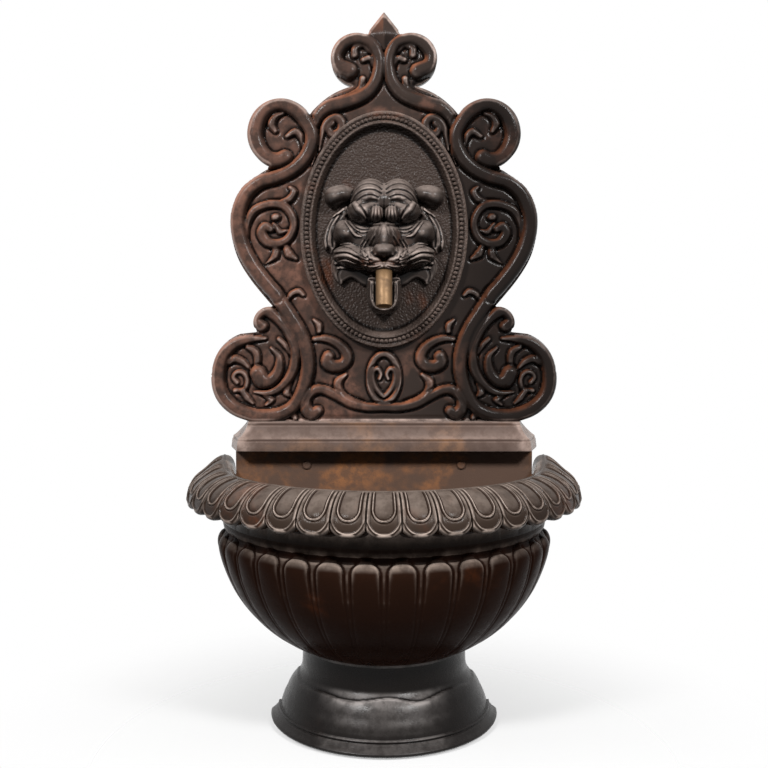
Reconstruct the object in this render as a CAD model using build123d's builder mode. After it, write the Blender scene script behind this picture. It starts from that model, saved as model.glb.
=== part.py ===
from build123d import *
import os
from math import cos, radians, sin

os.makedirs("parts", exist_ok=True)

# Cast iron wall fountain. Millimetres, Z up, the wall is at +Y and the front faces -Y.
# "depth" below is the distance out from the wall towards the front.

# Basin rim
LIP_R = 275.0
CREST_R = 222.0
CREST_Z = 357.0
LIP_Z = 309.0
LIP_THICKNESS = 8.0
LOBE_PITCH = 9.0

# Basin bowl
BASIN_IN_R = 208.0
JOINT_Z = 284.0
NECK_R = 224.0
BELLY_R = 231.0
BELLY_Z = 248.0
FLANK_R = 180.0
FLANK_Z = 150.0
INNER_FLANK_R = 170.0
INNER_FLANK_Z = 158.0
FOOT_H = 106.0
FLOOR_THICKNESS = 12.0
FLOOR_R = 100.0
TONGUE_PITCH = 11.25
TONGUE_TOP_Z = 268.0
GROOVE_DEPTH = 3.0
GROOVE_HALF = 2.5

# Foot
FOOT_NECK_R = 115.0
FOOT_NECK_Z = 70.0
FOOT_FLARE_R = 133.0
FOOT_FLARE_Z = 47.0
FOOT_SHOULDER_R = 143.0
FOOT_SHOULDER_Z = 26.0
FOOT_BASE_R = 158.5
FOOT_BASE_Z = 7.0
FOOT_TREAD_R = 147.0
FOOT_WALL = 9.0
FOOT_TOP = 10.0

# Back wall of the basin
WALL_PANEL_DEPTH = 10.0
PANEL_THICKNESS = 10.0
SEAL = 3.0
FIT = 0.3

# Plinth
PLINTH_Z = 377.0
PLATE_Z = 416.0
PLINTH_BOTTOM_HALF = 214.0
PLINTH_TOP_HALF = 191.0
PLINTH_BOTTOM_DEPTH = 48.0
PLINTH_TOP_DEPTH = 33.0
PLINTH_WALL = 8.0
TONGUE_HALF = 180.0
TONGUE_DROP = 45.0

# Back plate
PLATE_THICKNESS = 22.0
BORDER_RISE = 9.0
SCROLL_RISE = 7.0
LEAF_RISE = 5.0
TIP_V = 561.0

# Oval medallion
OVAL_V = 263.0
OVAL_OUT_X = 115.0
OVAL_OUT_V = 163.0
OVAL_IN_X = 93.0
OVAL_IN_V = 137.5
FRAME_RISE = 10.0
PANEL_BACK = 14.0
PANEL_FRONT = 20.0

# Spout
SPOUT_R = 10.65
SPOUT_BORE_R = 8.0
SPOUT_Z = 626.0
SPOUT_RUN = 64.0
SPOUT_BEND_R = 30.0
SPOUT_BEND = 75.0
SPOUT_DROP = 30.0

# Fasteners
DOWEL_R = 4.0
DOWEL_LENGTH = 24.0
RIVET_X = 107.0
RIVET_R = 3.0
RIVET_HEAD_R = 6.0
PLATE_BOLT_R = 4.0
PLATE_BOLT_X = 140.0
MASK_STUD_R = 4.0
MASK_STUD_X = 44.0
FRAME_SCREW_R = 3.0
FOOT_BOLT_R = 5.0
FOOT_BOLT_CIRCLE = 87.0
WALL_HOLE_R = 3.4
WALL_HOLE_X = 140.0
WALL_HOLE_V = 396.0
WALL_HOLE_DEPTH = 15.0

# Drain and overflow
DRAIN_DEPTH = 47.0
DRAIN_TAIL_R = 16.6
DRAIN_SPIGOT_R = 16.0
DRAIN_SPIGOT = 30.0
DRAIN_BORE_R = 13.5
DRAIN_FLANGE_R = 24.0
DRAIN_FLANGE_H = 4.0
GASKET = 2.0
DRAIN_TAIL_Z = 35.0
DRAIN_NUT_H = 12.0
STANDPIPE_R = 11.0
STANDPIPE_BORE_R = 9.0
STANDPIPE_TOP_Z = 312.0
PLUG_R = DRAIN_BORE_R - FIT
PLUG_LENGTH = 22.0
COLLAR_R = 18.0
COLLAR_H = 4.5
RING_R = 1.2

# Positions that follow from the sizes above
WALL_Y = LIP_R / 2
OVAL_Z = PLATE_Z + OVAL_V
FLOOR_Z = FOOT_H + FLOOR_THICKNESS
PANEL_FACE_DEPTH = WALL_PANEL_DEPTH + PANEL_THICKNESS
FLANGE_TOP_Z = FLOOR_Z + GASKET + DRAIN_FLANGE_H
RIVET_Z = PLINTH_Z - 22.0

# Wall-side planes: x across, y up, normal out to the front; and the side view, x = depth, y up.
WALL = Plane(origin=(0, WALL_Y, 0), x_dir=(1, 0, 0), z_dir=(0, -1, 0))
PLATE = Plane(origin=(0, WALL_Y, PLATE_Z), x_dir=(1, 0, 0), z_dir=(0, -1, 0))
SIDE = Plane(origin=(0, WALL_Y, 0), x_dir=(0, -1, 0), z_dir=(-1, 0, 0))
TURN = Axis((0, WALL_Y, 0), (0, 0, -1))
UPRIGHT = Axis((0, WALL_Y, 0), (0, 0, 1))


def front_plane(depth, z=0.0):
    """Plane parallel to the wall at a depth and height."""
    return Plane(origin=(0, WALL_Y - depth, z), x_dir=(1, 0, 0), z_dir=(0, -1, 0))


def level(z):
    """Horizontal plane on the basin's axis: x across, y out to the front, normal down."""
    return Plane(origin=(0, WALL_Y, z), x_dir=(1, 0, 0), z_dir=(0, 0, -1))


def round_points(radius, angles):
    """Points at a radius in a level plane; angle 0 is the front."""
    return [(radius * sin(radians(a)), radius * cos(radians(a))) for a in angles]


def scroll_band(points, widths):
    """Adds a band that follows the points, its width running through the given widths."""
    with BuildLine(Plane.XY) as edge:
        spine = Spline(*points, mode=Mode.PRIVATE)
        steps = 2 * (len(points) - 1)
        left = []
        right = []
        for i in range(steps + 1):
            t = i / steps
            place = t * (len(widths) - 1)
            k = min(int(place), len(widths) - 2)
            half = (widths[k] + (widths[k + 1] - widths[k]) * (place - k)) / 2
            p = spine.position_at(t)
            d = spine.tangent_at(t).normalized()
            left.append((p.X - d.Y * half, p.Y + d.X * half))
            right.append((p.X + d.Y * half, p.Y - d.X * half))
        head = spine.position_at(0) - spine.tangent_at(0).normalized() * (widths[0] / 2)
        tail = spine.position_at(1) + spine.tangent_at(1).normalized() * (widths[-1] / 2)
        Spline(*left)
        ThreePointArc(left[-1], (tail.X, tail.Y), right[-1])
        Spline(*reversed(right))
        ThreePointArc(right[0], (head.X, head.Y), left[0])
    make_face(edge.edges())


def half_capsule(r, h):
    """Draws half of a round-ended bar of radius r and half-height h, up the sketch's y axis."""
    with BuildLine(Plane.XY) as edge:
        RadiusArc((0, -h), (r, r - h), -r)
        Line((r, r - h), (r, h - r))
        RadiusArc((r, h - r), (0, h), -r)
        Line((0, h), (0, -h))
    make_face(edge.edges())


def upright_lump(x, depth, z, r, h):
    """Adds an upright round-ended lump of radius r and half-height h."""
    with BuildSketch(Plane(origin=(x, WALL_Y - depth, z), x_dir=(1, 0, 0), z_dir=(0, -1, 0))) as half:
        half_capsule(r, h)
    revolve(half.sketch, axis=Axis((x, WALL_Y - depth, z), (0, 0, 1)))


def level_lump(x, depth, z, r, h):
    """Adds a level round-ended lump of radius r and half-length h across."""
    with BuildSketch(Plane(origin=(x, WALL_Y - depth, z), x_dir=(0, 0, 1), z_dir=(0, 1, 0))) as half:
        half_capsule(r, h)
    revolve(half.sketch, axis=Axis((x, WALL_Y - depth, z), (1, 0, 0)))


def save(piece, name):
    """Labels a finished piece and writes it out."""
    piece.part.label = name
    export_step(piece.part, f"parts/{name}.step")


FOOT_BOLTS = round_points(FOOT_BOLT_CIRCLE, (0, -62, 62))
DRAIN = [(0, DRAIN_DEPTH)]
LOBE_EDGES = [LOBE_PITCH * (i + 0.5) for i in range(-10, 10)]
TONGUE_EDGES = [TONGUE_PITCH * i for i in range(-7, 8)]
DOWEL_ANGLES = (-72, -36, 0, 36, 72)
DOWEL_CIRCLE = (BASIN_IN_R + NECK_R) / 2


# Foot: a flared half shell with a bolting plate on top.
with BuildPart() as foot:
    with BuildSketch(WALL):
        with BuildLine():
            Polyline((0, FOOT_H), (FOOT_NECK_R, FOOT_H), (FOOT_NECK_R, FOOT_NECK_Z))
            ThreePointArc(
                (FOOT_NECK_R, FOOT_NECK_Z),
                (FOOT_FLARE_R, FOOT_FLARE_Z),
                (FOOT_SHOULDER_R, FOOT_SHOULDER_Z),
            )
            Polyline(
                (FOOT_SHOULDER_R, FOOT_SHOULDER_Z),
                (FOOT_SHOULDER_R + 3.5, FOOT_SHOULDER_Z - 3.5),
                (FOOT_BASE_R, FOOT_BASE_Z),
            )
            ThreePointArc(
                (FOOT_BASE_R, FOOT_BASE_Z),
                (FOOT_BASE_R - 0.4 * (FOOT_BASE_R - FOOT_TREAD_R), 0.3 * FOOT_BASE_Z),
                (FOOT_TREAD_R, 0),
            )
            Polyline(
                (FOOT_TREAD_R, 0),
                (FOOT_TREAD_R - FOOT_WALL, 0),
                (FOOT_SHOULDER_R - FOOT_WALL, FOOT_SHOULDER_Z),
                (FOOT_FLARE_R - FOOT_WALL, FOOT_FLARE_Z),
                (FOOT_NECK_R - FOOT_WALL, FOOT_NECK_Z),
                (FOOT_NECK_R - FOOT_WALL, FOOT_H - FOOT_TOP),
                (0, FOOT_H - FOOT_TOP),
                (0, FOOT_H),
            )
        make_face()
    revolve(axis=TURN, revolution_arc=180)
    with BuildSketch(level(FOOT_H)):
        with Locations(*FOOT_BOLTS):
            Circle(FOOT_BOLT_R + FIT)
        with Locations(*DRAIN):
            Circle(DRAIN_TAIL_R + FIT)
    extrude(amount=FOOT_TOP, mode=Mode.SUBTRACT)

save(foot, "foot")


# Bowl: half-round shell with upright tongues parted by grooves.
with BuildPart() as basin_bowl:
    with BuildSketch(WALL):
        with BuildLine():
            Line((0, FOOT_H), (FOOT_NECK_R, FOOT_H))
            ThreePointArc((FOOT_NECK_R, FOOT_H), (FLANK_R, FLANK_Z), (BELLY_R, BELLY_Z))
            ThreePointArc((BELLY_R, BELLY_Z), (BELLY_R - 2, (BELLY_Z + TONGUE_TOP_Z) / 2 + 2), (NECK_R, TONGUE_TOP_Z))
            Polyline((NECK_R, TONGUE_TOP_Z), (NECK_R, JOINT_Z), (BASIN_IN_R, JOINT_Z))
            ThreePointArc((BASIN_IN_R, JOINT_Z), (INNER_FLANK_R, INNER_FLANK_Z), (FLOOR_R, FLOOR_Z))
            Polyline((FLOOR_R, FLOOR_Z), (0, FLOOR_Z), (0, FOOT_H))
        make_face()
    revolve(axis=TURN, revolution_arc=180)
    # one groove between two tongues, run down the belly and repeated round the bowl
    with BuildSketch(WALL):
        with BuildLine():
            run = ThreePointArc(
                (FOOT_NECK_R + 3, FOOT_H - 1),
                (FLANK_R - GROOVE_DEPTH, FLANK_Z + GROOVE_DEPTH),
                (BELLY_R - GROOVE_DEPTH, BELLY_Z),
            )
            Polyline(
                run @ 1,
                (NECK_R - 1, TONGUE_TOP_Z - 2),
                (BELLY_R + 10, TONGUE_TOP_Z - 2),
                (BELLY_R + 10, FOOT_H - 1),
                run @ 0,
            )
        make_face()
    groove = extrude(amount=GROOVE_HALF, both=True, mode=Mode.PRIVATE)
    for angle in TONGUE_EDGES:
        add(groove.rotate(UPRIGHT, -90 + angle), mode=Mode.SUBTRACT)
    with BuildSketch(level(FLOOR_Z)):
        with Locations(*FOOT_BOLTS):
            Circle(FOOT_BOLT_R + FIT)
        with Locations(*DRAIN):
            Circle(DRAIN_TAIL_R + FIT)
    extrude(amount=FLOOR_THICKNESS, mode=Mode.SUBTRACT)
    with BuildSketch(level(JOINT_Z)):
        with Locations(*round_points(DOWEL_CIRCLE, DOWEL_ANGLES)):
            Circle(DOWEL_R + FIT)
    extrude(amount=DOWEL_LENGTH / 2 + 1, mode=Mode.SUBTRACT)

save(basin_bowl, "basin_bowl")


# Rim: an overhanging quarter-round, parted into lobes that scallop its lip.
with BuildPart() as basin_rim:
    with BuildSketch(WALL):
        with BuildLine():
            Line((BASIN_IN_R, JOINT_Z), (NECK_R, JOINT_Z))
            ThreePointArc((NECK_R, JOINT_Z), (NECK_R + 8, LIP_Z - 6), (LIP_R - LIP_THICKNESS, LIP_Z))
            ThreePointArc((LIP_R - LIP_THICKNESS, LIP_Z), (LIP_R - 2, LIP_Z + 1.5), (LIP_R, LIP_Z + 7))
            ThreePointArc((LIP_R, LIP_Z + 7), (LIP_R - 16, CREST_Z - 13), (CREST_R, CREST_Z))
            ThreePointArc((CREST_R, CREST_Z), (BASIN_IN_R + 4, CREST_Z - 4), (BASIN_IN_R, CREST_Z - 14))
            Line((BASIN_IN_R, CREST_Z - 14), (BASIN_IN_R, JOINT_Z))
        make_face()
    revolve(axis=TURN, revolution_arc=180)
    # one groove between two lobes, deepest at the lip
    with BuildSketch(WALL):
        with BuildLine():
            brow = ThreePointArc(
                (LIP_R - 2 * GROOVE_DEPTH, LIP_Z - 2),
                (LIP_R - 16 - GROOVE_DEPTH, CREST_Z - 13 - GROOVE_DEPTH),
                (CREST_R + 6, CREST_Z - 1),
            )
            Polyline(brow @ 1, (CREST_R + 6, CREST_Z + 5), (LIP_R + 5, CREST_Z + 5), (LIP_R + 5, LIP_Z - 2), brow @ 0)
        make_face()
    lobe_groove = extrude(amount=GROOVE_HALF, both=True, mode=Mode.PRIVATE)
    for angle in LOBE_EDGES:
        add(lobe_groove.rotate(UPRIGHT, -90 + angle), mode=Mode.SUBTRACT)
    with BuildSketch(level(JOINT_Z)):
        with Locations(*round_points(DOWEL_CIRCLE, DOWEL_ANGLES)):
            Circle(DOWEL_R + FIT)
    extrude(amount=-(DOWEL_LENGTH / 2 + 1), mode=Mode.SUBTRACT)

save(basin_rim, "basin_rim")


with BuildPart() as rim_dowels:
    with BuildSketch(level(JOINT_Z + DOWEL_LENGTH / 2)):
        with Locations(*round_points(DOWEL_CIRCLE, DOWEL_ANGLES)):
            Circle(DOWEL_R)
    extrude(amount=DOWEL_LENGTH)

save(rim_dowels, "rim_dowels")


def basin_section(top_z):
    """Draws the inside outline of the half bowl, closed across at a height."""
    with BuildLine(Plane.XY) as outline:
        Line((0, FLOOR_Z), (FLOOR_R, FLOOR_Z))
        ThreePointArc((FLOOR_R, FLOOR_Z), (INNER_FLANK_R, INNER_FLANK_Z), (BASIN_IN_R, JOINT_Z))
        Polyline((BASIN_IN_R, JOINT_Z), (BASIN_IN_R, top_z), (0, top_z))
        mirror(about=Plane.YZ)
    make_face(outline.edges())


# Back wall of the basin, inset from the wall plane.
with BuildPart() as basin_back:
    with BuildSketch(front_plane(WALL_PANEL_DEPTH)):
        basin_section(PLINTH_Z + SEAL)
        offset(amount=-SEAL, mode=Mode.REPLACE)
        with Locations((-RIVET_X, RIVET_Z), (RIVET_X, RIVET_Z)):
            Circle(RIVET_R + 0.2, mode=Mode.SUBTRACT)
    extrude(amount=PANEL_THICKNESS)

save(basin_back, "basin_back")


# Packing between that wall and the inside of bowl and rim.
with BuildPart() as back_seal:
    with BuildSketch(WALL):
        with BuildLine():
            Line((0, FLOOR_Z), (FLOOR_R, FLOOR_Z))
            ThreePointArc((FLOOR_R, FLOOR_Z), (INNER_FLANK_R, INNER_FLANK_Z), (BASIN_IN_R, JOINT_Z))
            Polyline((BASIN_IN_R, JOINT_Z), (BASIN_IN_R, CREST_Z - 16), (0, CREST_Z - 16), (0, FLOOR_Z))
        make_face()
    revolve(axis=TURN, revolution_arc=180)
    with BuildSketch(front_plane(WALL_PANEL_DEPTH)):
        with Locations((0, CREST_Z / 2)):
            Rectangle(2 * LIP_R, 2 * CREST_Z)
    extrude(amount=PANEL_THICKNESS, mode=Mode.INTERSECT)
    with BuildSketch(front_plane(WALL_PANEL_DEPTH)):
        basin_section(PLINTH_Z + SEAL)
        offset(amount=-SEAL, mode=Mode.REPLACE)
    extrude(amount=PANEL_THICKNESS, mode=Mode.SUBTRACT)

save(back_seal, "back_seal")


# Plinth: moulded base with splayed ends, a cavity behind and a tongue behind the basin wall.
with BuildPart() as plinth:
    with BuildSketch(SIDE):
        with BuildLine():
            Polyline(
                (0, PLINTH_Z),
                (PLINTH_BOTTOM_DEPTH, PLINTH_Z),
                (PLINTH_BOTTOM_DEPTH, PLINTH_Z + 15),
                (PLINTH_BOTTOM_DEPTH - 2, PLINTH_Z + 16),
                (PLINTH_BOTTOM_DEPTH - 2, PLINTH_Z + 18),
                (PLINTH_BOTTOM_DEPTH - 5, PLINTH_Z + 19),
            )
            ThreePointArc(
                (PLINTH_BOTTOM_DEPTH - 5, PLINTH_Z + 19),
                (PLINTH_TOP_DEPTH + 3.5, PLATE_Z - 11),
                (PLINTH_TOP_DEPTH, PLATE_Z - 3),
            )
            Polyline((PLINTH_TOP_DEPTH, PLATE_Z - 3), (PLINTH_TOP_DEPTH, PLATE_Z), (0, PLATE_Z), (0, PLINTH_Z))
        make_face()
    extrude(amount=PLINTH_BOTTOM_HALF, both=True)
    with BuildSketch(WALL):
        with BuildLine():
            Polyline(
                (0, PLINTH_Z),
                (PLINTH_BOTTOM_HALF, PLINTH_Z),
                (PLINTH_BOTTOM_HALF - 2, PLINTH_Z + 16),
                (PLINTH_TOP_HALF + 2, PLATE_Z - 4),
                (PLINTH_TOP_HALF, PLATE_Z),
                (0, PLATE_Z),
            )
            mirror(about=Plane.YZ)
        make_face()
    extrude(amount=PLINTH_BOTTOM_DEPTH, mode=Mode.INTERSECT)
    # the ends splay back to the wall
    with BuildSketch(level(PLATE_Z)):
        with BuildLine():
            Polyline(
                (PLINTH_BOTTOM_HALF, 0),
                (PLINTH_BOTTOM_HALF + 5, 0),
                (PLINTH_BOTTOM_HALF + 5, PLINTH_BOTTOM_DEPTH + 5),
                (PLINTH_BOTTOM_HALF - 14, PLINTH_BOTTOM_DEPTH + 5),
                close=True,
            )
        make_face()
        mirror(about=Plane.YZ)
    extrude(amount=PLATE_Z - PLINTH_Z, mode=Mode.SUBTRACT)
    with BuildSketch(WALL):
        with Locations((0, (PLINTH_Z + PLATE_Z) / 2)):
            Rectangle(2 * (PLINTH_TOP_HALF - PLINTH_WALL), PLATE_Z - PLINTH_Z - 2 * PLINTH_WALL)
    extrude(amount=PLINTH_TOP_DEPTH - PLINTH_WALL, mode=Mode.SUBTRACT)
    with BuildSketch(WALL):
        with Locations((0, PLINTH_Z - TONGUE_DROP / 2 + 1)):
            Rectangle(2 * TONGUE_HALF, TONGUE_DROP + 2)
    extrude(amount=WALL_PANEL_DEPTH)
    with BuildSketch(WALL):
        with Locations((-RIVET_X, RIVET_Z), (RIVET_X, RIVET_Z)):
            Circle(RIVET_R + 0.2)
    extrude(amount=WALL_PANEL_DEPTH, mode=Mode.SUBTRACT)
    with BuildSketch(level(PLATE_Z)):
        with Locations(*[(x, PLATE_THICKNESS / 2) for x in (-PLATE_BOLT_X, 0, PLATE_BOLT_X)]):
            Circle(PLATE_BOLT_R + FIT)
    extrude(amount=PLINTH_WALL, mode=Mode.SUBTRACT)

save(plinth, "plinth")


# Rivets: domed head on the basin side, shank through wall and tongue.
with BuildPart() as panel_rivets:
    with BuildSketch(WALL):
        with Locations((-RIVET_X, RIVET_Z), (RIVET_X, RIVET_Z)):
            Circle(RIVET_R)
    extrude(amount=PANEL_FACE_DEPTH)
    with BuildSketch(front_plane(PANEL_FACE_DEPTH)):
        with Locations((-RIVET_X, RIVET_Z), (RIVET_X, RIVET_Z)):
            Circle(RIVET_HEAD_R)
    extrude(amount=3.2)
    fillet(panel_rivets.faces().sort_by(Axis.Y)[:2].edges(), radius=2.6)

save(panel_rivets, "panel_rivets")


# Back plate: scrolled outline, drawn for one half and mirrored.
with BuildPart() as back_plate:
    with BuildSketch(PLATE):
        with BuildLine():
            Line((0, TIP_V), (25, 530))
            ThreePointArc((25, 530), (71, 507), (44, 462))
            ThreePointArc((44, 462), (79, 446), (102.5, 423.5))
            ThreePointArc((102.5, 423.5), (185.5, 409), (156, 351))
            Spline((156, 351), (176, 339), (197.5, 321), (210, 296), (212.7, 267), (204, 229), (185, 196), (154, 158))
            ThreePointArc((154, 158), (175, 149.5), (176, 123))
            Line((176, 123), (199, 120.5))
            ThreePointArc((199, 120.5), (229, 98), (239, 58.5))
            ThreePointArc((239, 58.5), (227, 24), (199, 4.2))
            Polyline((199, 4.2), (186, 0), (0, 0))
            mirror(about=Plane.YZ)
        make_face()
    extrude(amount=PLATE_THICKNESS)
    # broad border scrolls
    with BuildSketch(front_plane(PLATE_THICKNESS - 1, PLATE_Z)):
        scroll_band(
            [(47, 481), (63, 489), (66, 503), (56, 518), (38, 525), (18, 520), (9, 503), (8.5, 484), (14, 464),
             (28, 448), (53, 438), (76, 431), (90, 419), (95, 403)],
            [21, 19, 18, 17, 16, 16, 16, 18, 20, 20, 14, 5],
        )
        scroll_band(
            [(147, 360), (161, 363), (173, 377), (176, 396), (171, 418), (157, 431), (139, 434)],
            [19, 22, 22, 20],
        )
        scroll_band(
            [(150, 433), (137, 434), (120, 427), (106, 411), (99, 395), (101, 378), (110, 361), (125, 347), (147, 337),
             (171, 328)],
            [17, 18, 18, 17, 18, 18],
        )
        scroll_band(
            [(165, 330), (182, 320), (196, 298), (200, 270), (195, 245), (183, 221), (166, 197), (149, 174),
             (132, 149), (117, 125), (108, 100), (105, 75), (110, 50), (121, 28), (137, 15), (158, 10)],
            [16, 21, 22, 22, 21, 20, 19, 18],
        )
        scroll_band(
            [(150, 10), (166, 10), (185, 12), (205, 21), (221, 38), (227, 61), (222, 86), (206, 105), (186, 112),
             (164, 114)],
            [17, 18, 18, 18, 17, 8],
        )
        mirror(about=Plane.YZ)
    extrude(amount=BORDER_RISE + 1)
    # scrolls inside the border
    with BuildSketch(front_plane(PLATE_THICKNESS - 1, PLATE_Z)):
        scroll_band(
            [(174, 134), (175, 143), (163, 149), (145, 139), (129, 118), (123, 95), (127, 70), (140, 50), (158, 40),
             (179, 40)],
            [14, 15, 15, 14, 10, 4],
        )
        scroll_band([(81, 120), (63, 115), (48, 103), (43, 87), (51, 73), (67, 69), (77, 76)], [10, 14, 17, 18, 16])
        scroll_band([(100, 14), (106, 22), (106, 33), (96, 41), (83, 42), (65, 35), (44, 25), (22, 20)], [15, 14, 13, 8])
        scroll_band(
            [(189, 258), (187, 275), (177, 290), (157, 298), (140, 296), (129, 286), (125, 270), (131, 254), (145, 246),
             (158, 248), (165, 257)],
            [6, 12, 12, 11, 12, 14],
        )
        mirror(about=Plane.YZ)
        with Locations((0, 63)):
            Ellipse(29, 36)
            Ellipse(19, 26, mode=Mode.SUBTRACT)
    extrude(amount=SCROLL_RISE + 1)
    # small leaves and scroll eyes
    with BuildSketch(front_plane(PLATE_THICKNESS - 1, PLATE_Z)):
        scroll_band([(177, 65), (168, 55), (156, 57), (147, 71), (146, 88), (155, 100)], [16, 19, 14, 5])
        scroll_band([(53, 64), (62, 54), (60, 41), (49, 31), (34, 27)], [6, 12, 10, 5])
        scroll_band([(139, 303), (129, 308), (125, 316)], [7, 10, 5])
        with Locations((149, 277)):
            Circle(6)
        with Locations((70, 405)):
            Circle(12)
            Circle(5, mode=Mode.SUBTRACT)
        mirror(about=Plane.YZ)
        with BuildLine():
            Polyline((0, TIP_V - 8), (20, 530), (0, 508), (-20, 530), close=True)
        make_face()
    extrude(amount=LEAF_RISE + 1)
    # window behind the medallion, screw holes, bolt holes and wall fixing holes
    with BuildSketch(PLATE):
        with Locations((0, OVAL_V)):
            Ellipse(OVAL_IN_X + 2, OVAL_IN_V + 2)
    extrude(amount=PLATE_THICKNESS + BORDER_RISE, mode=Mode.SUBTRACT)
    with BuildSketch(front_plane(PLATE_THICKNESS, PLATE_Z)):
        with Locations((0, OVAL_V)):
            Ellipse(OVAL_OUT_X + FIT, OVAL_OUT_V + FIT)
    extrude(amount=BORDER_RISE, mode=Mode.SUBTRACT)
    with Locations(PLATE):
        with Locations(*[(sx * 74, OVAL_V + sv * 107, 0) for sx in (-1, 1) for sv in (-1, 1)]):
            Cylinder(FRAME_SCREW_R + FIT, 60, mode=Mode.SUBTRACT)
            Cone(7, FRAME_SCREW_R + FIT, 4, align=(Align.CENTER, Align.CENTER, Align.MIN), mode=Mode.SUBTRACT)
        with Locations((-WALL_HOLE_X, WALL_HOLE_V, 0), (WALL_HOLE_X, WALL_HOLE_V, 0)):
            Cylinder(
                WALL_HOLE_R, WALL_HOLE_DEPTH, align=(Align.CENTER, Align.CENTER, Align.MIN), mode=Mode.SUBTRACT
            )
    with BuildSketch(level(PLATE_Z)):
        with Locations(*[(x, PLATE_THICKNESS / 2) for x in (-PLATE_BOLT_X, 0, PLATE_BOLT_X)]):
            Circle(PLATE_BOLT_R + FIT)
    extrude(amount=-22, mode=Mode.SUBTRACT)

save(back_plate, "back_plate")


with BuildPart() as plate_bolts:
    with BuildSketch(level(PLATE_Z - PLINTH_WALL)):
        with Locations(*[(x, PLATE_THICKNESS / 2) for x in (-PLATE_BOLT_X, 0, PLATE_BOLT_X)]):
            Circle(PLATE_BOLT_R)
    extrude(amount=-(PLINTH_WALL + 20))
    with BuildSketch(level(PLATE_Z - PLINTH_WALL)):
        with Locations(*[(x, PLATE_THICKNESS / 2) for x in (-PLATE_BOLT_X, 0, PLATE_BOLT_X)]):
            RegularPolygon(6.5, 6, major_radius=False)
    extrude(amount=5.3)

save(plate_bolts, "plate_bolts")


# Medallion: raised oval frame on the plate, with a panel that fills the window.
with BuildPart() as oval_medallion:
    with BuildSketch(front_plane(PLATE_THICKNESS, PLATE_Z)):
        with Locations((0, OVAL_V)):
            Ellipse(OVAL_OUT_X, OVAL_OUT_V)
    extrude(amount=3)
    with BuildSketch(front_plane(PLATE_THICKNESS, PLATE_Z)):
        with Locations((0, OVAL_V)):
            Ellipse(OVAL_OUT_X - 3, OVAL_OUT_V - 3)
    extrude(amount=FRAME_RISE)
    fillet(oval_medallion.faces().sort_by(Axis.Y)[0].edges(), radius=4)
    with BuildSketch(front_plane(PANEL_FRONT, PLATE_Z)):
        with Locations((0, OVAL_V)):
            Ellipse(OVAL_IN_X, OVAL_IN_V)
    extrude(amount=PLATE_THICKNESS + FRAME_RISE - PANEL_FRONT, mode=Mode.SUBTRACT)
    with BuildSketch(front_plane(PANEL_BACK, PLATE_Z)):
        with Locations((0, OVAL_V)):
            Ellipse(OVAL_IN_X + 2 - FIT, OVAL_IN_V + 2 - FIT)
    extrude(amount=PANEL_FRONT - PANEL_BACK)
    with BuildSketch(front_plane(PANEL_FRONT, PLATE_Z)):
        with Locations((0, OVAL_V)):
            Ellipse(OVAL_IN_X + 2 - FIT, OVAL_IN_V + 2 - FIT)
            Ellipse(OVAL_IN_X, OVAL_IN_V, mode=Mode.SUBTRACT)
    extrude(amount=PLATE_THICKNESS - PANEL_FRONT)
    with Locations(PLATE):
        with Locations((0, SPOUT_Z - PLATE_Z, 0)):
            Cylinder(SPOUT_R + FIT, 80, mode=Mode.SUBTRACT)
        with Locations(*[(sx * MASK_STUD_X, OVAL_V, 0) for sx in (-1, 1)]):
            Cylinder(MASK_STUD_R + FIT, 80, mode=Mode.SUBTRACT)
        with Locations(*[(sx * 74, OVAL_V + sv * 107, PLATE_THICKNESS) for sx in (-1, 1) for sv in (-1, 1)]):
            Cylinder(
                FRAME_SCREW_R + FIT, 7, align=(Align.CENTER, Align.CENTER, Align.MIN), mode=Mode.SUBTRACT
            )

save(oval_medallion, "oval_medallion")


with BuildPart() as medallion_screws:
    with Locations(PLATE):
        with Locations(*[(sx * 74, OVAL_V + sv * 107, 0) for sx in (-1, 1) for sv in (-1, 1)]):
            Cylinder(FRAME_SCREW_R, PLATE_THICKNESS + 6, align=(Align.CENTER, Align.CENTER, Align.MIN))
            Cone(6.6, FRAME_SCREW_R, 3.6, align=(Align.CENTER, Align.CENTER, Align.MIN))

save(medallion_screws, "medallion_screws")


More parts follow.
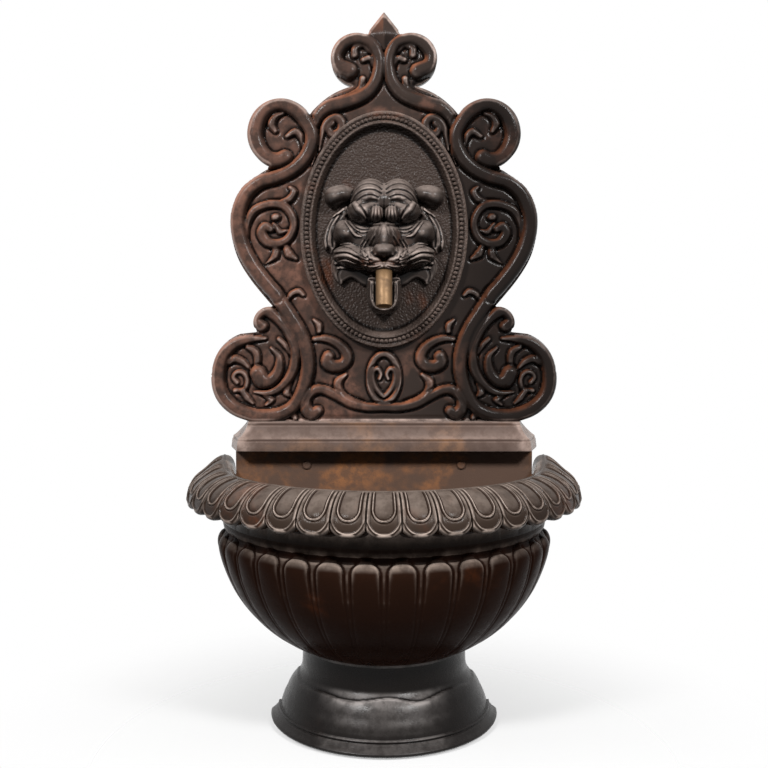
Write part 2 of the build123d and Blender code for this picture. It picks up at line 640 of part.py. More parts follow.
# Mask: ruff behind, skull, domed forehead, brows, cheeks, muzzle, nose, jaw and ears.
# The balls' poles point at the wall.
with BuildPart() as lion_mask:
    with BuildSketch(front_plane(PANEL_FRONT)):
        with BuildLine():
            Polyline(
                (0, 758), (28, 755), (40, 748), (54, 750), (78, 746), (79, 728), (66, 712), (72, 690), (82, 656),
                (68, 637), (72, 620), (58, 605), (48, 613), (36, 590), (26, 569), (0, 564),
            )
            mirror(about=Plane.YZ)
        make_face()
    extrude(amount=13)
    upright_lump(0, 20, 690, 58, 66)
    upright_lump(0, 79, 677, 14, 31)
    level_lump(0, 92, 658, 13, 17)
    level_lump(0, 42, 590, 24, 31)
    with Locations((0, WALL_Y - 66, 588)):
        Sphere(24.5, rotation=(90, 0, 0))
    for side in (-1, 1):
        with Locations((side * 20, WALL_Y - 46, 727), (side * 45, WALL_Y - 47, 676)):
            Sphere(26, rotation=(90, 0, 0))
        with Locations((side * 19, WALL_Y - 79, 643)):
            Sphere(25.5, rotation=(90, 0, 0))
        with Locations((side * 60, WALL_Y - 31, 731)):
            Sphere(16.5, rotation=(90, 0, 0))
        level_lump(side * 27, 66, 701, 12, 24)
        level_lump(side * 48, 55, 640, 13, 27)
    # flat back, mouth and the way for the pipe
    with BuildSketch(front_plane(PANEL_FRONT)):
        with Locations((0, 660)):
            Rectangle(300, 300)
    extrude(amount=-60, mode=Mode.SUBTRACT)
    with BuildSketch(front_plane(46)):
        with Locations((0, 606)):
            Ellipse(27, 13)
    extrude(amount=80, mode=Mode.SUBTRACT)
    with BuildLine(SIDE) as waterway:
        l1 = Line((PANEL_FRONT - 2, SPOUT_Z), (SPOUT_RUN, SPOUT_Z))
        l2 = JernArc(l1 @ 1, l1 % 1, SPOUT_BEND_R, -SPOUT_BEND)
        Line(l2 @ 1, l2 @ 1 + (l2 % 1) * (SPOUT_DROP + 15))
    with BuildSketch(Plane(origin=waterway.line @ 0, z_dir=waterway.line % 0)):
        Circle(SPOUT_R + 0.6)
    sweep(path=waterway.line, mode=Mode.SUBTRACT)
    with Locations(front_plane(PANEL_FRONT, OVAL_Z)):
        with Locations((-MASK_STUD_X, 0, 0), (MASK_STUD_X, 0, 0)):
            Cylinder(MASK_STUD_R + FIT, 17, align=(Align.CENTER, Align.CENTER, Align.MIN), mode=Mode.SUBTRACT)

save(lion_mask, "lion_mask")


with BuildPart() as mask_studs:
    with Locations(front_plane(PANEL_BACK - 8, OVAL_Z)):
        with Locations((-MASK_STUD_X, 0, 0), (MASK_STUD_X, 0, 0)):
            Cylinder(MASK_STUD_R, PANEL_FRONT - PANEL_BACK + 8 + 16, align=(Align.CENTER, Align.CENTER, Align.MIN))

save(mask_studs, "mask_studs")


with BuildPart() as mask_nuts:
    with BuildSketch(front_plane(PANEL_BACK, OVAL_Z)):
        with Locations((-MASK_STUD_X, 0), (MASK_STUD_X, 0)):
            RegularPolygon(6.5, 6, major_radius=False)
            Circle(MASK_STUD_R + 0.1, mode=Mode.SUBTRACT)
    extrude(amount=-6.5)

save(mask_nuts, "mask_nuts")


# Spout: brass pipe, level through the mask and bent down out of the mouth.
with BuildPart() as spout_pipe:
    with BuildLine(SIDE) as pipe_line:
        l1 = Line((1, SPOUT_Z), (SPOUT_RUN, SPOUT_Z))
        l2 = JernArc(l1 @ 1, l1 % 1, SPOUT_BEND_R, -SPOUT_BEND)
        Line(l2 @ 1, l2 @ 1 + (l2 % 1) * SPOUT_DROP)
    with BuildSketch(Plane(origin=pipe_line.line @ 0, z_dir=pipe_line.line % 0)):
        Circle(SPOUT_R)
        Circle(SPOUT_BORE_R, mode=Mode.SUBTRACT)
    sweep(path=pipe_line.line)

save(spout_pipe, "spout_pipe")


with BuildPart() as spout_washer:
    with BuildSketch(front_plane(PANEL_BACK, SPOUT_Z)):
        Circle(18)
        Circle(SPOUT_R + 0.2, mode=Mode.SUBTRACT)
    extrude(amount=-GASKET)

save(spout_washer, "spout_washer")


with BuildPart() as spout_locknut:
    with BuildSketch(front_plane(PANEL_BACK - GASKET, SPOUT_Z)):
        RegularPolygon(15, 6, major_radius=False)
        Circle(SPOUT_R + 0.1, mode=Mode.SUBTRACT)
    extrude(amount=-8)

save(spout_locknut, "spout_locknut")


# Join of bowl and foot.
with BuildPart() as foot_washers:
    with BuildSketch(level(FLOOR_Z)):
        with Locations(*FOOT_BOLTS):
            Circle(2.1 * FOOT_BOLT_R)
            Circle(FOOT_BOLT_R + 0.2, mode=Mode.SUBTRACT)
    extrude(amount=-2.5)

save(foot_washers, "foot_washers")


with BuildPart() as foot_bolts:
    with BuildSketch(level(FLOOR_Z + 2.5)):
        with Locations(*FOOT_BOLTS):
            Circle(FOOT_BOLT_R)
    extrude(amount=2.5 + FLOOR_THICKNESS + FOOT_TOP + 12)
    with BuildSketch(level(FLOOR_Z + 2.5)):
        with Locations(*FOOT_BOLTS):
            RegularPolygon(1.7 * FOOT_BOLT_R, 6, major_radius=False)
    extrude(amount=-6.4)

save(foot_bolts, "foot_bolts")


with BuildPart() as foot_nuts:
    with BuildSketch(level(FOOT_H - FOOT_TOP)):
        with Locations(*FOOT_BOLTS):
            RegularPolygon(1.7 * FOOT_BOLT_R, 6, major_radius=False)
            Circle(FOOT_BOLT_R + 0.1, mode=Mode.SUBTRACT)
    extrude(amount=8)

save(foot_nuts, "foot_nuts")


# Waste fitting in the floor of the bowl.
with BuildPart() as drain_flange:
    with BuildSketch(level(FLANGE_TOP_Z)):
        with Locations(*DRAIN):
            Circle(DRAIN_FLANGE_R)
    extrude(amount=DRAIN_FLANGE_H)
    with BuildSketch(level(FLANGE_TOP_Z)):
        with Locations(*DRAIN):
            Circle(DRAIN_TAIL_R)
    extrude(amount=FLANGE_TOP_Z - DRAIN_TAIL_Z - DRAIN_SPIGOT)
    with BuildSketch(level(DRAIN_TAIL_Z + DRAIN_SPIGOT)):
        with Locations(*DRAIN):
            Circle(DRAIN_SPIGOT_R)
    extrude(amount=DRAIN_SPIGOT)
    with BuildSketch(level(FLANGE_TOP_Z)):
        with Locations(*DRAIN):
            Circle(DRAIN_BORE_R)
    extrude(amount=FLANGE_TOP_Z - DRAIN_TAIL_Z, mode=Mode.SUBTRACT)

save(drain_flange, "drain_flange")


with BuildPart() as drain_gasket:
    with BuildSketch(level(FLOOR_Z)):
        with Locations(*DRAIN):
            Circle(DRAIN_FLANGE_R)
            Circle(DRAIN_TAIL_R + FIT, mode=Mode.SUBTRACT)
    extrude(amount=-GASKET)

save(drain_gasket, "drain_gasket")


with BuildPart() as drain_locknut:
    with BuildSketch(level(FOOT_H - FOOT_TOP)):
        with Locations(*DRAIN):
            RegularPolygon(23, 6, major_radius=False)
            Circle(DRAIN_TAIL_R + 0.1, mode=Mode.SUBTRACT)
    extrude(amount=DRAIN_NUT_H)

save(drain_locknut, "drain_locknut")


# Overflow standpipe: its plug sits in the waste fitting and lifts straight out.
with BuildPart() as overflow_standpipe:
    with BuildSketch(SIDE):
        with BuildLine():
            Polyline(
                (DRAIN_DEPTH + STANDPIPE_BORE_R, FLANGE_TOP_Z - PLUG_LENGTH),
                (DRAIN_DEPTH + PLUG_R, FLANGE_TOP_Z - PLUG_LENGTH),
                (DRAIN_DEPTH + PLUG_R, FLANGE_TOP_Z - 13),
                (DRAIN_DEPTH + PLUG_R - 2.2, FLANGE_TOP_Z - 13),
                (DRAIN_DEPTH + PLUG_R - 2.2, FLANGE_TOP_Z - 10),
                (DRAIN_DEPTH + PLUG_R, FLANGE_TOP_Z - 10),
                (DRAIN_DEPTH + PLUG_R, FLANGE_TOP_Z),
                (DRAIN_DEPTH + COLLAR_R, FLANGE_TOP_Z),
                (DRAIN_DEPTH + COLLAR_R, FLANGE_TOP_Z + COLLAR_H),
                (DRAIN_DEPTH + STANDPIPE_R, FLANGE_TOP_Z + COLLAR_H),
                (DRAIN_DEPTH + STANDPIPE_R, STANDPIPE_TOP_Z),
                (DRAIN_DEPTH + STANDPIPE_BORE_R, STANDPIPE_TOP_Z),
                close=True,
            )
        make_face()
    revolve(axis=Axis((0, WALL_Y - DRAIN_DEPTH, 0), (0, 0, 1)))

save(overflow_standpipe, "overflow_standpipe")


with BuildPart() as standpipe_ring:
    with BuildSketch(SIDE):
        with Locations((DRAIN_DEPTH + PLUG_R - 2.2 + RING_R + 0.05, FLANGE_TOP_Z - 11.5)):
            Circle(RING_R)
    revolve(axis=Axis((0, WALL_Y - DRAIN_DEPTH, 0), (0, 0, 1)))

save(standpipe_ring, "standpipe_ring")
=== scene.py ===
"""Cast iron wall fountain: the dressed pieces, the studio and the camera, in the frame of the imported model."""

import itertools
import logging
import math
from abc import ABC, abstractmethod
from dataclasses import dataclass, field
from enum import Enum
from typing import Callable, Iterator, Sequence

import bmesh
import bpy
import numpy as np
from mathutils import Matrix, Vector
from mathutils.geometry import tessellate_polygon


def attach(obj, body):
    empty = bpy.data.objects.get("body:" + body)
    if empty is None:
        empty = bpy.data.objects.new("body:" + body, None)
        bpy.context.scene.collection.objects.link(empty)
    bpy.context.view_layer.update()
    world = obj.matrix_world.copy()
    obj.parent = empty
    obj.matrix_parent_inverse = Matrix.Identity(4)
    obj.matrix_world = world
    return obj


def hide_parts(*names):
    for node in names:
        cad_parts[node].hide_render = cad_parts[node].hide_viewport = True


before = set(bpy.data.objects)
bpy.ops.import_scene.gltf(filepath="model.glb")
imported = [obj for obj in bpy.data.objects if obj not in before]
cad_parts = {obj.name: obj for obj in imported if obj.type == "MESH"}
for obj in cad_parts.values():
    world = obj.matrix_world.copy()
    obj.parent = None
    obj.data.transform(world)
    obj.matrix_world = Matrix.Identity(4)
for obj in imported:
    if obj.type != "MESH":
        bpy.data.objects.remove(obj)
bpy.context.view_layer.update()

Array = np.ndarray
Pair = tuple[float, float]
Triple = tuple[float, float, float]
Points = Sequence[Pair]
Socket = bpy.types.NodeSocket
Value = Socket | float | tuple[float, ...]

MM = 0.001
WALL_Y = 137.5
PLATE_Z = 416.0
OVAL_Z = 679.0
WELD_M = 2e-6
SLIVER_M = 1e-6
FAR = 1e9
TINY = 1e-9

log = logging.getLogger("fountain")


class Slot(Enum):
    """Material slots of the record."""

    IRON = "iron"
    RIVET_IRON = "rivet_iron"
    STEEL = "fastener_steel"
    BRASS = "brass"
    RUBBER = "rubber"


# Shape helpers


def from_wall(across: Array, depth: Array, height: Array) -> Array:
    """Places points that are given by their distance out from the wall.

    Args:
        across: sideways positions, millimetres.
        depth: distances out from the wall plane.
        height: heights above the ground.

    Returns:
        One row per point, in the model's axes.
    """
    across, depth, height = np.broadcast_arrays(across, depth, height)
    return np.stack([across, WALL_Y - depth, height], axis=-1).reshape(-1, 3).astype(float)


def around_axis(angle: Array, radius: Array, height: Array) -> Array:
    """Places points on circles round the basin's upright axis.

    Args:
        angle: angles in radians, 0 at the front.
        radius: distances from the axis, millimetres.
        height: heights above the ground.

    Returns:
        One row per point, in the model's axes.
    """
    return from_wall(radius * np.sin(angle), radius * np.cos(angle), height)


def grid_faces(rows: int, columns: int, loop: bool = False, turn: bool = False) -> list[list[int]]:
    """Joins a grid of points into four-sided faces.

    Args:
        rows: number of rows.
        columns: number of points in a row.
        loop: joins the last row to the first.
        turn: joins the last column to the first.

    Returns:
        The faces as lists of point indices.
    """
    index = np.arange(rows * columns).reshape(rows, columns)
    if loop:
        index = np.vstack([index, index[:1]])
    if turn:
        index = np.hstack([index, index[:, :1]])
    corners = [index[:-1, :-1], index[1:, :-1], index[1:, 1:], index[:-1, 1:]]
    return np.stack(corners, axis=-1).reshape(-1, 4).tolist()


def smooth_line(points: Points, per_span: int, closed: bool = False) -> Array:
    """Runs a smooth curve through points.

    Args:
        points: the points it passes.
        per_span: samples between neighbours.
        closed: joins the end to the start.

    Returns:
        The samples, one row each.
    """
    p = np.asarray(points, float)
    if closed:
        p = np.vstack([p[-1], p, p[0], p[1]])
    else:
        p = np.vstack([2 * p[0] - p[1], p, 2 * p[-1] - p[-2]])
    t = (np.arange(per_span) / per_span)[:, None]
    spans = []
    for a, b, c, d in zip(p[:-3], p[1:-2], p[2:-1], p[3:]):
        bend = (2 * a - 5 * b + 4 * c - d) * t**2 + (3 * b - a - 3 * c + d) * t**3
        spans.append(b + 0.5 * ((c - a) * t + bend))
    if not closed:
        spans.append(p[-2][None, :])
    return np.vstack(spans)


def arc_through(a: Pair, b: Pair, c: Pair, steps: int) -> Array:
    """Samples the circular arc through three points.

    Args:
        a: the start.
        b: a point on the way.
        c: the end, which is left out of the samples.
        steps: number of samples.

    Returns:
        The samples, one row each.
    """
    (ax, ay), (bx, by), (cx, cy) = a, b, c
    m = 2 * np.array([[bx - ax, by - ay], [cx - ax, cy - ay]])
    centre = np.linalg.solve(m, [bx**2 - ax**2 + by**2 - ay**2, cx**2 - ax**2 + cy**2 - ay**2])
    first, middle, last = (math.atan2(y - centre[1], x - centre[0]) for x, y in (a, b, c))
    sweep = (last - first) % math.tau
    if (middle - first) % math.tau > sweep:
        sweep -= math.tau
    angle = first + sweep * np.arange(steps) / steps
    radius = math.hypot(ax - centre[0], ay - centre[1])
    return centre + radius * np.stack([np.cos(angle), np.sin(angle)], axis=-1)


def step_up(x: Array, low: float, high: float) -> Array:
    """Rises smoothly from 0 at low to 1 at high."""
    t = np.clip((x - low) / (high - low), 0.0, 1.0)
    return t * t * (3 - 2 * t)


def hump(x: Array, middle: float, half: float) -> Array:
    """Gives a rounded ridge of height 1 over a middle, falling away within about twice its half-width."""
    return np.exp(-(((x - middle) / half) ** 2))


def feet_on(points: Array, line: Array) -> Iterator[tuple[Array, Array]]:
    """Goes along a line span by span.

    Args:
        points: points in a plane, one row each.
        line: the line's corners.

    Yields:
        For each span, the place on it nearest to each point, and how far along the span that is, 0 to 1.
    """
    for a, b in zip(line[:-1], line[1:]):
        run = b - a
        t = np.clip(((points - a) @ run) / max(run @ run, TINY), 0, 1)
        yield a + t[:, None] * run, t


def line_distance(points: Array, line: Array, widths: Array | None = None) -> tuple[Array, Array]:
    """Measures how far points are from a line with a width.

    Args:
        points: points in a plane, one row each.
        line: the line's corners.
        widths: half-widths at the corners; a bare line where left out.

    Returns:
        The distance outside the line's edge, negative inside it, and the half-width there.
    """
    half = np.zeros(len(line)) if widths is None else widths
    best = np.full(len(points), FAR)
    at = np.zeros(len(points))
    for (foot, t), wa, wb in zip(feet_on(points, line), half[:-1], half[1:]):
        w = wa + (wb - wa) * t
        gap = np.hypot(*(points - foot).T) - w
        near = gap < best
        best = np.where(near, gap, best)
        at = np.where(near, w, at)
    return best, at


def inside_line(points: Array, line: Array) -> Array:
    """Tells which points of a plane lie inside a closed line.

    Args:
        points: the points, one row each.
        line: the line's corners.

    Returns:
        A yes or no for each point.
    """
    x, y = points[:, 0], points[:, 1]
    inside = np.zeros(len(points), bool)
    for (ax, ay), (bx, by) in zip(line, np.roll(line, -1, axis=0)):
        if ay != by:
            inside ^= ((ay > y) != (by > y)) & (x < (bx - ax) * (y - ay) / (by - ay) + ax)
    return inside


def stand(name: str, data: bpy.types.ID) -> bpy.types.Object:
    """Puts a mesh, a lamp or a camera into the scene.

    Args:
        name: the object's name.
        data: what it shows.

    Returns:
        The new object.
    """
    obj = bpy.data.objects.new(name, data)
    bpy.context.scene.collection.objects.link(obj)
    return obj


@dataclass
class Shell:
    """A mesh in the making: points in millimetres and faces."""

    points: list[Array] = field(default_factory=list)
    faces: list[list[int]] = field(default_factory=list)

    def count(self) -> int:
        """Gives the number of points so far."""
        return sum(len(p) for p in self.points)

    def add(self, points: Array, faces: list[list[int]]) -> int:
        """Adds points, and faces that count from the first of them.

        Args:
            points: rows of coordinates.
            faces: faces that index these points.

        Returns:
            The index of the first new point.
        """
        start = self.count()
        self.points.append(np.asarray(points, float))
        self.faces += [[i + start for i in f] for f in faces]
        return start

    def turn_half(self, angle: Array, radius: Array, height: Array) -> None:
        """Adds a closed half ring: a section carried round the basin's axis, with flat ends at the wall.

        Args:
            angle: the angles it is carried to.
            radius: radii, one row per point of the section.
            height: heights, likewise.
        """
        rows, columns = len(radius), len(angle)
        ends = [[i * columns + k for i in range(rows)] for k in (0, columns - 1)]
        self.add(around_axis(angle[None, :], radius, height), grid_faces(rows, columns, loop=True) + ends)

    def finish(self, name: str, sharp: float) -> bpy.types.Object:
        """Makes the Blender object.

        Args:
            name: the piece's name.
            sharp: edges that fold by more degrees than this stay crisp.

        Returns:
            The new object, linked to the scene.
        """
        mesh = bpy.data.meshes.new(name)
        mesh.from_pydata((np.vstack(self.points) * MM).tolist(), [], self.faces)
        bm = bmesh.new()
        bm.from_mesh(mesh)
        bmesh.ops.remove_doubles(bm, verts=bm.verts, dist=WELD_M)
        bmesh.ops.dissolve_degenerate(bm, edges=bm.edges, dist=SLIVER_M)
        bmesh.ops.recalc_face_normals(bm, faces=bm.faces)
        bm.to_mesh(mesh)
        bm.free()
        mesh.shade_smooth()
        mesh.set_sharp_from_angle(angle=math.radians(sharp))
        return stand(name, mesh)


def mark_wear_and_shade(
    obj: bpy.types.Object, passes: int, proud_mm: float, lean: float, painted_shade: Callable[[Array], Array]
) -> None:
    """Stores on each point what wear, dirt, painted highlights and painted shade follow: how far it stands out,
    how far it faces up, and how much painted shade it gets.

    Args:
        obj: the piece.
        passes: rounds of smoothing that make the surroundings.
        proud_mm: how far a point stands out of them where wear and painted highlight are full.
        lean: degrees from straight up to the left of the direction that counts as up.
        painted_shade: gives the painted shade, 0 to 1, at points in millimetres.
    """
    mesh = obj.data
    n = len(mesh.vertices)
    place = np.empty(n * 3, np.float32)
    normal = np.empty(n * 3, np.float32)
    ends = np.empty(len(mesh.edges) * 2, np.int32)
    mesh.vertices.foreach_get("co", place)
    mesh.vertices.foreach_get("normal", normal)
    mesh.edges.foreach_get("vertices", ends)
    place, normal, ends = place.reshape(-1, 3), normal.reshape(-1, 3), ends.reshape(-1, 2)
    here = np.concatenate([ends[:, 0], ends[:, 1]])
    there = np.concatenate([ends[:, 1], ends[:, 0]])
    joined = np.maximum(np.bincount(here, minlength=n), 1)[:, None]
    calm = place.astype(float)
    for _ in range(passes):
        total = np.stack([np.bincount(here, weights=calm[there, k], minlength=n) for k in range(3)], axis=-1)
        calm = 0.5 * calm + 0.5 * total / joined
    rise = ((place - calm) * normal).sum(axis=1)
    # facing leads painted highlights on upward faces and painted shade on downward ones
    facing = normal[:, 2] * math.cos(math.radians(lean)) - normal[:, 0] * math.sin(math.radians(lean))
    marks = {"relief": rise / (proud_mm * MM), "facing": facing, "painted_shade": painted_shade(place / MM)}
    for name, values in marks.items():
        mesh.attributes.new(name, "FLOAT", "POINT").data.foreach_set("value", values.astype(np.float32))


# Finishes


class Nodes:
    """Adds nodes to a material or a world."""

    def __init__(self, owner: bpy.types.Material | bpy.types.World) -> None:
        """Opens the owner's nodes.

        Args:
            owner: the material or world.
        """
        owner.use_nodes = True
        self.owner = owner
        self.tree = owner.node_tree

    def feed(self, socket: Socket, value: Value) -> None:
        """Links another node's output to a socket, or sets a constant on it.

        Args:
            socket: the socket.
            value: the output or constant.
        """
        if isinstance(value, Socket):
            self.tree.links.new(value, socket)
        else:
            socket.default_value = value

    def add(self, kind: str, out: int | str, inputs: dict[int | str, Value], **settings: object) -> Socket:
        """Adds a node.

        Args:
            kind: its type.
            out: the output to give.
            inputs: what its inputs are fed with.
            **settings: its other settings.

        Returns:
            The chosen output.
        """
        node = self.tree.nodes.new(kind)
        for key, setting in settings.items():
            setattr(node, key, setting)
        for key, value in inputs.items():
            self.feed(node.inputs[key], value)
        return node.outputs[out]


class Surface(Nodes):
    """Builds one material."""

    PEBBLE_SMOOTHNESS = 0.6
    # a colour mix has several inputs of each name, so they go by number
    MIX_SHARE, MIX_FIRST, MIX_SECOND, MIXED = 0, 6, 7, 2

    def __init__(self, name: str) -> None:
        """Starts a material with an empty surface.

        Args:
            name: the material's name.
        """
        super().__init__(bpy.data.materials.new(name))
        self.shader = self.tree.nodes["Principled BSDF"]
        self.place = self.add("ShaderNodeTexCoord", "Object", {})

    def noise(self, scale: float, detail: float, rough: float = 0.55, warp: float = 0.0) -> Socket:
        """Adds a noise pattern of so many patches per metre, its value about 0 to 1."""
        levels = {"Scale": scale, "Detail": detail, "Roughness": rough, "Distortion": warp}
        return self.add("ShaderNodeTexNoise", 0, {"Vector": self.place, **levels})

    def pebbles(self, scale: float) -> Socket:
        """Adds a pattern of rounded pebbles, its value the distance from each middle."""
        inputs = {"Vector": self.place, "Scale": scale, "Smoothness": self.PEBBLE_SMOOTHNESS}
        return self.add("ShaderNodeTexVoronoi", "Distance", inputs, feature="SMOOTH_F1")

    def across(self) -> Socket:
        """Reads the place from left to right, in metres from the middle."""
        return self.add("ShaderNodeSeparateXYZ", "X", {0: self.place})

    def mark(self, name: str) -> Socket:
        """Reads one of the marks that wear, dirt, painted highlights and painted shade follow."""
        return self.add("ShaderNodeAttribute", "Fac", {}, attribute_name=name)

    def span(self, value: Socket, source: Pair, to: Pair) -> Socket:
        """Maps one range of a value to another, held at both ends.

        Args:
            value: the value.
            source: the range to read.
            to: the range to give.

        Returns:
            The mapped value.
        """
        limits = dict(zip(("From Min", "From Max", "To Min", "To Max"), (*source, *to)))
        inputs = {"Value": value, **limits}
        return self.add("ShaderNodeMapRange", "Result", inputs, interpolation_type="SMOOTHSTEP")

    def product(self, a: Socket, b: Socket) -> Socket:
        """Multiplies two values, held between 0 and 1."""
        return self.add("ShaderNodeMath", "Value", {0: a, 1: b}, operation="MULTIPLY", use_clamp=True)

    def mix(self, amount: Socket, a: Socket | Triple, b: Triple) -> Socket:
        """Mixes a share of a second colour into a first.

        Args:
            amount: the share.
            a: the first colour, or where it comes from.
            b: the second colour.

        Returns:
            The mixed colour.
        """
        first = a if isinstance(a, Socket) else (*a, 1.0)
        inputs = {self.MIX_SHARE: amount, self.MIX_FIRST: first, self.MIX_SECOND: (*b, 1.0)}
        return self.add("ShaderNodeMix", self.MIXED, inputs, data_type="RGBA")

    def bump(self, height: Socket, depth_mm: float, under: Socket | None = None) -> Socket:
        """Roughens the surface by a height pattern, on top of an earlier roughening where there is one."""
        below = {} if under is None else {"Normal": under}
        return self.add("ShaderNodeBump", "Normal", {"Distance": depth_mm * MM, "Height": height, **below})

    def drive(self, values: dict[str, Value]) -> None:
        """Feeds sockets of the surface by their names."""
        for key, value in values.items():
            self.feed(self.shader.inputs[key], value)


@dataclass(frozen=True)
class Finish(ABC):
    """A finish: makes one material."""

    name: str

    @abstractmethod
    def material(self) -> bpy.types.Material:
        """Makes the material."""


@dataclass(frozen=True)
class CastIron(Finish):
    """Dark waxed cast iron: sand grain, patches of rust, dirt and painted shade in the hollows, painted shade on
    undersides and sheltered places, and high spots and upward faces lightened as wear and painted highlight.

    The patterns hold patches per metre, detail, weight of the detail and warp.
    """

    base: Triple = (0.030, 0.021, 0.0175)
    # dirt colour, which also serves as the painted shade
    dirt_and_shade: Triple = (0.0035, 0.0022, 0.0018)
    rust: Triple = (0.13, 0.042, 0.018)
    # rubbed colour, which also serves as the painted highlight
    rubbed_and_highlight: Triple = (0.20, 0.148, 0.126)
    # tint of the painted highlight on upward faces, in place of the rubbed colour
    painted_top_tint: Triple | None = None
    rust_from: float = 0.54
    grain_mm: float = 0.2
    pebble_mm: float = 0.0
    roughness: float = 0.25
    # share of rust and painted light on the left side, and of painted shade on the right
    left_rust_and_light: float = 0.0
    right_side_shade: float = 0.0
    # share of painted highlight on upward faces
    painted_top_light: float = 0.5
    gloss: float = 0.09
    cloud: tuple[float, ...] = (9.0, 4.0, 0.6, 0.4)
    mottle: tuple[float, ...] = (70.0, 5.0, 0.62)
    grain: tuple[float, ...] = (520.0, 3.0, 0.6)
    pebbles: float = 330.0
    rust_blend: float = 0.16
    pitted: float = 1.4

    def material(self) -> bpy.types.Material:
        """Makes the material.

        Returns:
            The new material.
        """
        n = Surface(self.name)
        mottle = n.noise(*self.mottle)
        normal = n.bump(n.noise(*self.grain), self.grain_mm, n.bump(mottle, self.pitted * self.grain_mm))
        if self.pebble_mm:
            normal = n.bump(n.pebbles(self.pebbles), -self.pebble_mm, normal)
        n.drive({
            "Base Color": self.colour(n, mottle),
            "Roughness": n.span(mottle, (0.25, 0.75), (self.roughness - 0.05, self.roughness + 0.1)),
            "Normal": normal,
            "Specular IOR Level": self.gloss,
        })
        return n.owner

    def colour(self, n: Surface, mottle: Socket) -> Socket:
        """Lays rust, wear, dirt, painted highlights and painted shade over the base colour.

        Args:
            n: the material.
            mottle: the pattern that breaks them up.

        Returns:
            The colour.
        """
        relief, facing = n.mark("relief"), n.mark("facing")
        patches = n.span(n.noise(*self.cloud), (self.rust_from, self.rust_from + self.rust_blend), (0, 0.85))
        rusted = n.product(patches, n.span(mottle, (0.36, 0.62), (0.25, 1)))
        colour = n.mix(rusted, self.base, self.rust)
        # high spots get the rubbed colour: partly real wear, partly painted highlight
        wear_and_highlight = n.product(n.span(relief, (0.18, 1.0), (0, 0.85)), n.span(mottle, (0.3, 0.68), (0.3, 1)))
        colour = n.mix(wear_and_highlight, colour, self.rubbed_and_highlight)
        # upward faces, tilted by lean, get a lighter colour as painted highlight where the lamps fall
        upward = n.span(facing, (0.2, 0.9), (0, self.painted_top_light))
        top_highlight_share = n.product(upward, n.span(mottle, (0.3, 0.66), (0.45, 1)))
        colour = n.mix(top_highlight_share, colour, self.painted_top_tint or self.rubbed_and_highlight)
        # the left side gets more rust and is lightened as painted light; the right side is darkened as painted
        # shade
        if self.left_rust_and_light:
            side = n.span(n.across(), (0.06, -0.22), (0, self.left_rust_and_light))
            colour = n.mix(n.product(side, n.span(mottle, (0.36, 0.66), (0.2, 1))), colour, self.rust)
            colour = n.mix(n.span(n.across(), (0.02, 0.16), (0, self.right_side_shade)), colour, self.dirt_and_shade)
        # hollows darken with dirt and painted shade; undersides and sheltered places darken as painted shade
        hollow_dirt_and_shade = n.span(relief, (-0.05, -0.65), (0, 0.92))
        underside_shade = n.span(facing, (-0.1, -0.75), (0, 0.85))
        for dark_share in (hollow_dirt_and_shade, underside_shade, n.mark("painted_shade")):
            colour = n.mix(dark_share, colour, self.dirt_and_shade)
        return colour


@dataclass(frozen=True)
class StainedFinish(Finish):
    """One colour with stains of another and a fine grain, for brass, steel and rubber.

    The patterns hold patches per metre, detail, weight of the detail and warp.
    """

    base: Triple
    stain: Triple
    pattern: tuple[float, ...]
    stained: Pair
    cover: float
    dulled: Pair
    roughness: Pair
    grain: Pair
    grain_mm: float
    metallic: float

    def material(self) -> bpy.types.Material:
        """Makes the material.

        Returns:
            The new material.
        """
        n = Surface(self.name)
        stains = n.noise(*self.pattern)
        n.drive({
            "Base Color": n.mix(n.span(stains, self.stained, (0, self.cover)), self.base, self.stain),
            "Roughness": n.span(stains, self.dulled, self.roughness),
            "Normal": n.bump(n.noise(*self.grain), self.grain_mm),
            "Metallic": self.metallic,
        })
        return n.owner


@dataclass
class Piece(ABC):
    """A sub-assembly that stands for one node of the model."""

    finish: bpy.types.Material
    node: str
    slot: Slot = Slot.IRON
    body: str = "fountain"
    smoothing: int = 12
    proud_mm: float = 0.6
    lean: float = 0.0

    @abstractmethod
    def build(self) -> bpy.types.Object:
        """Makes the piece's mesh."""

    def painted_shade(self, at: Array) -> Array:
        """Gives the painted shade at points of the piece, 0 for none to 1; none by default."""
        return np.zeros(len(at))

    def dress(self) -> bpy.types.Object:
        """Builds the piece, gives it its finish and puts it on its body.

        Returns:
            The finished object.
        """
        obj = self.build()
        mark_wear_and_shade(obj, self.smoothing, self.proud_mm, self.lean, self.painted_shade)
        obj.data.materials.append(self.finish)
        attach(obj, self.body)
        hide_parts(self.node)
        log.info("%s: %d faces", obj.name, len(obj.data.polygons))
        return obj


# Basin and foot


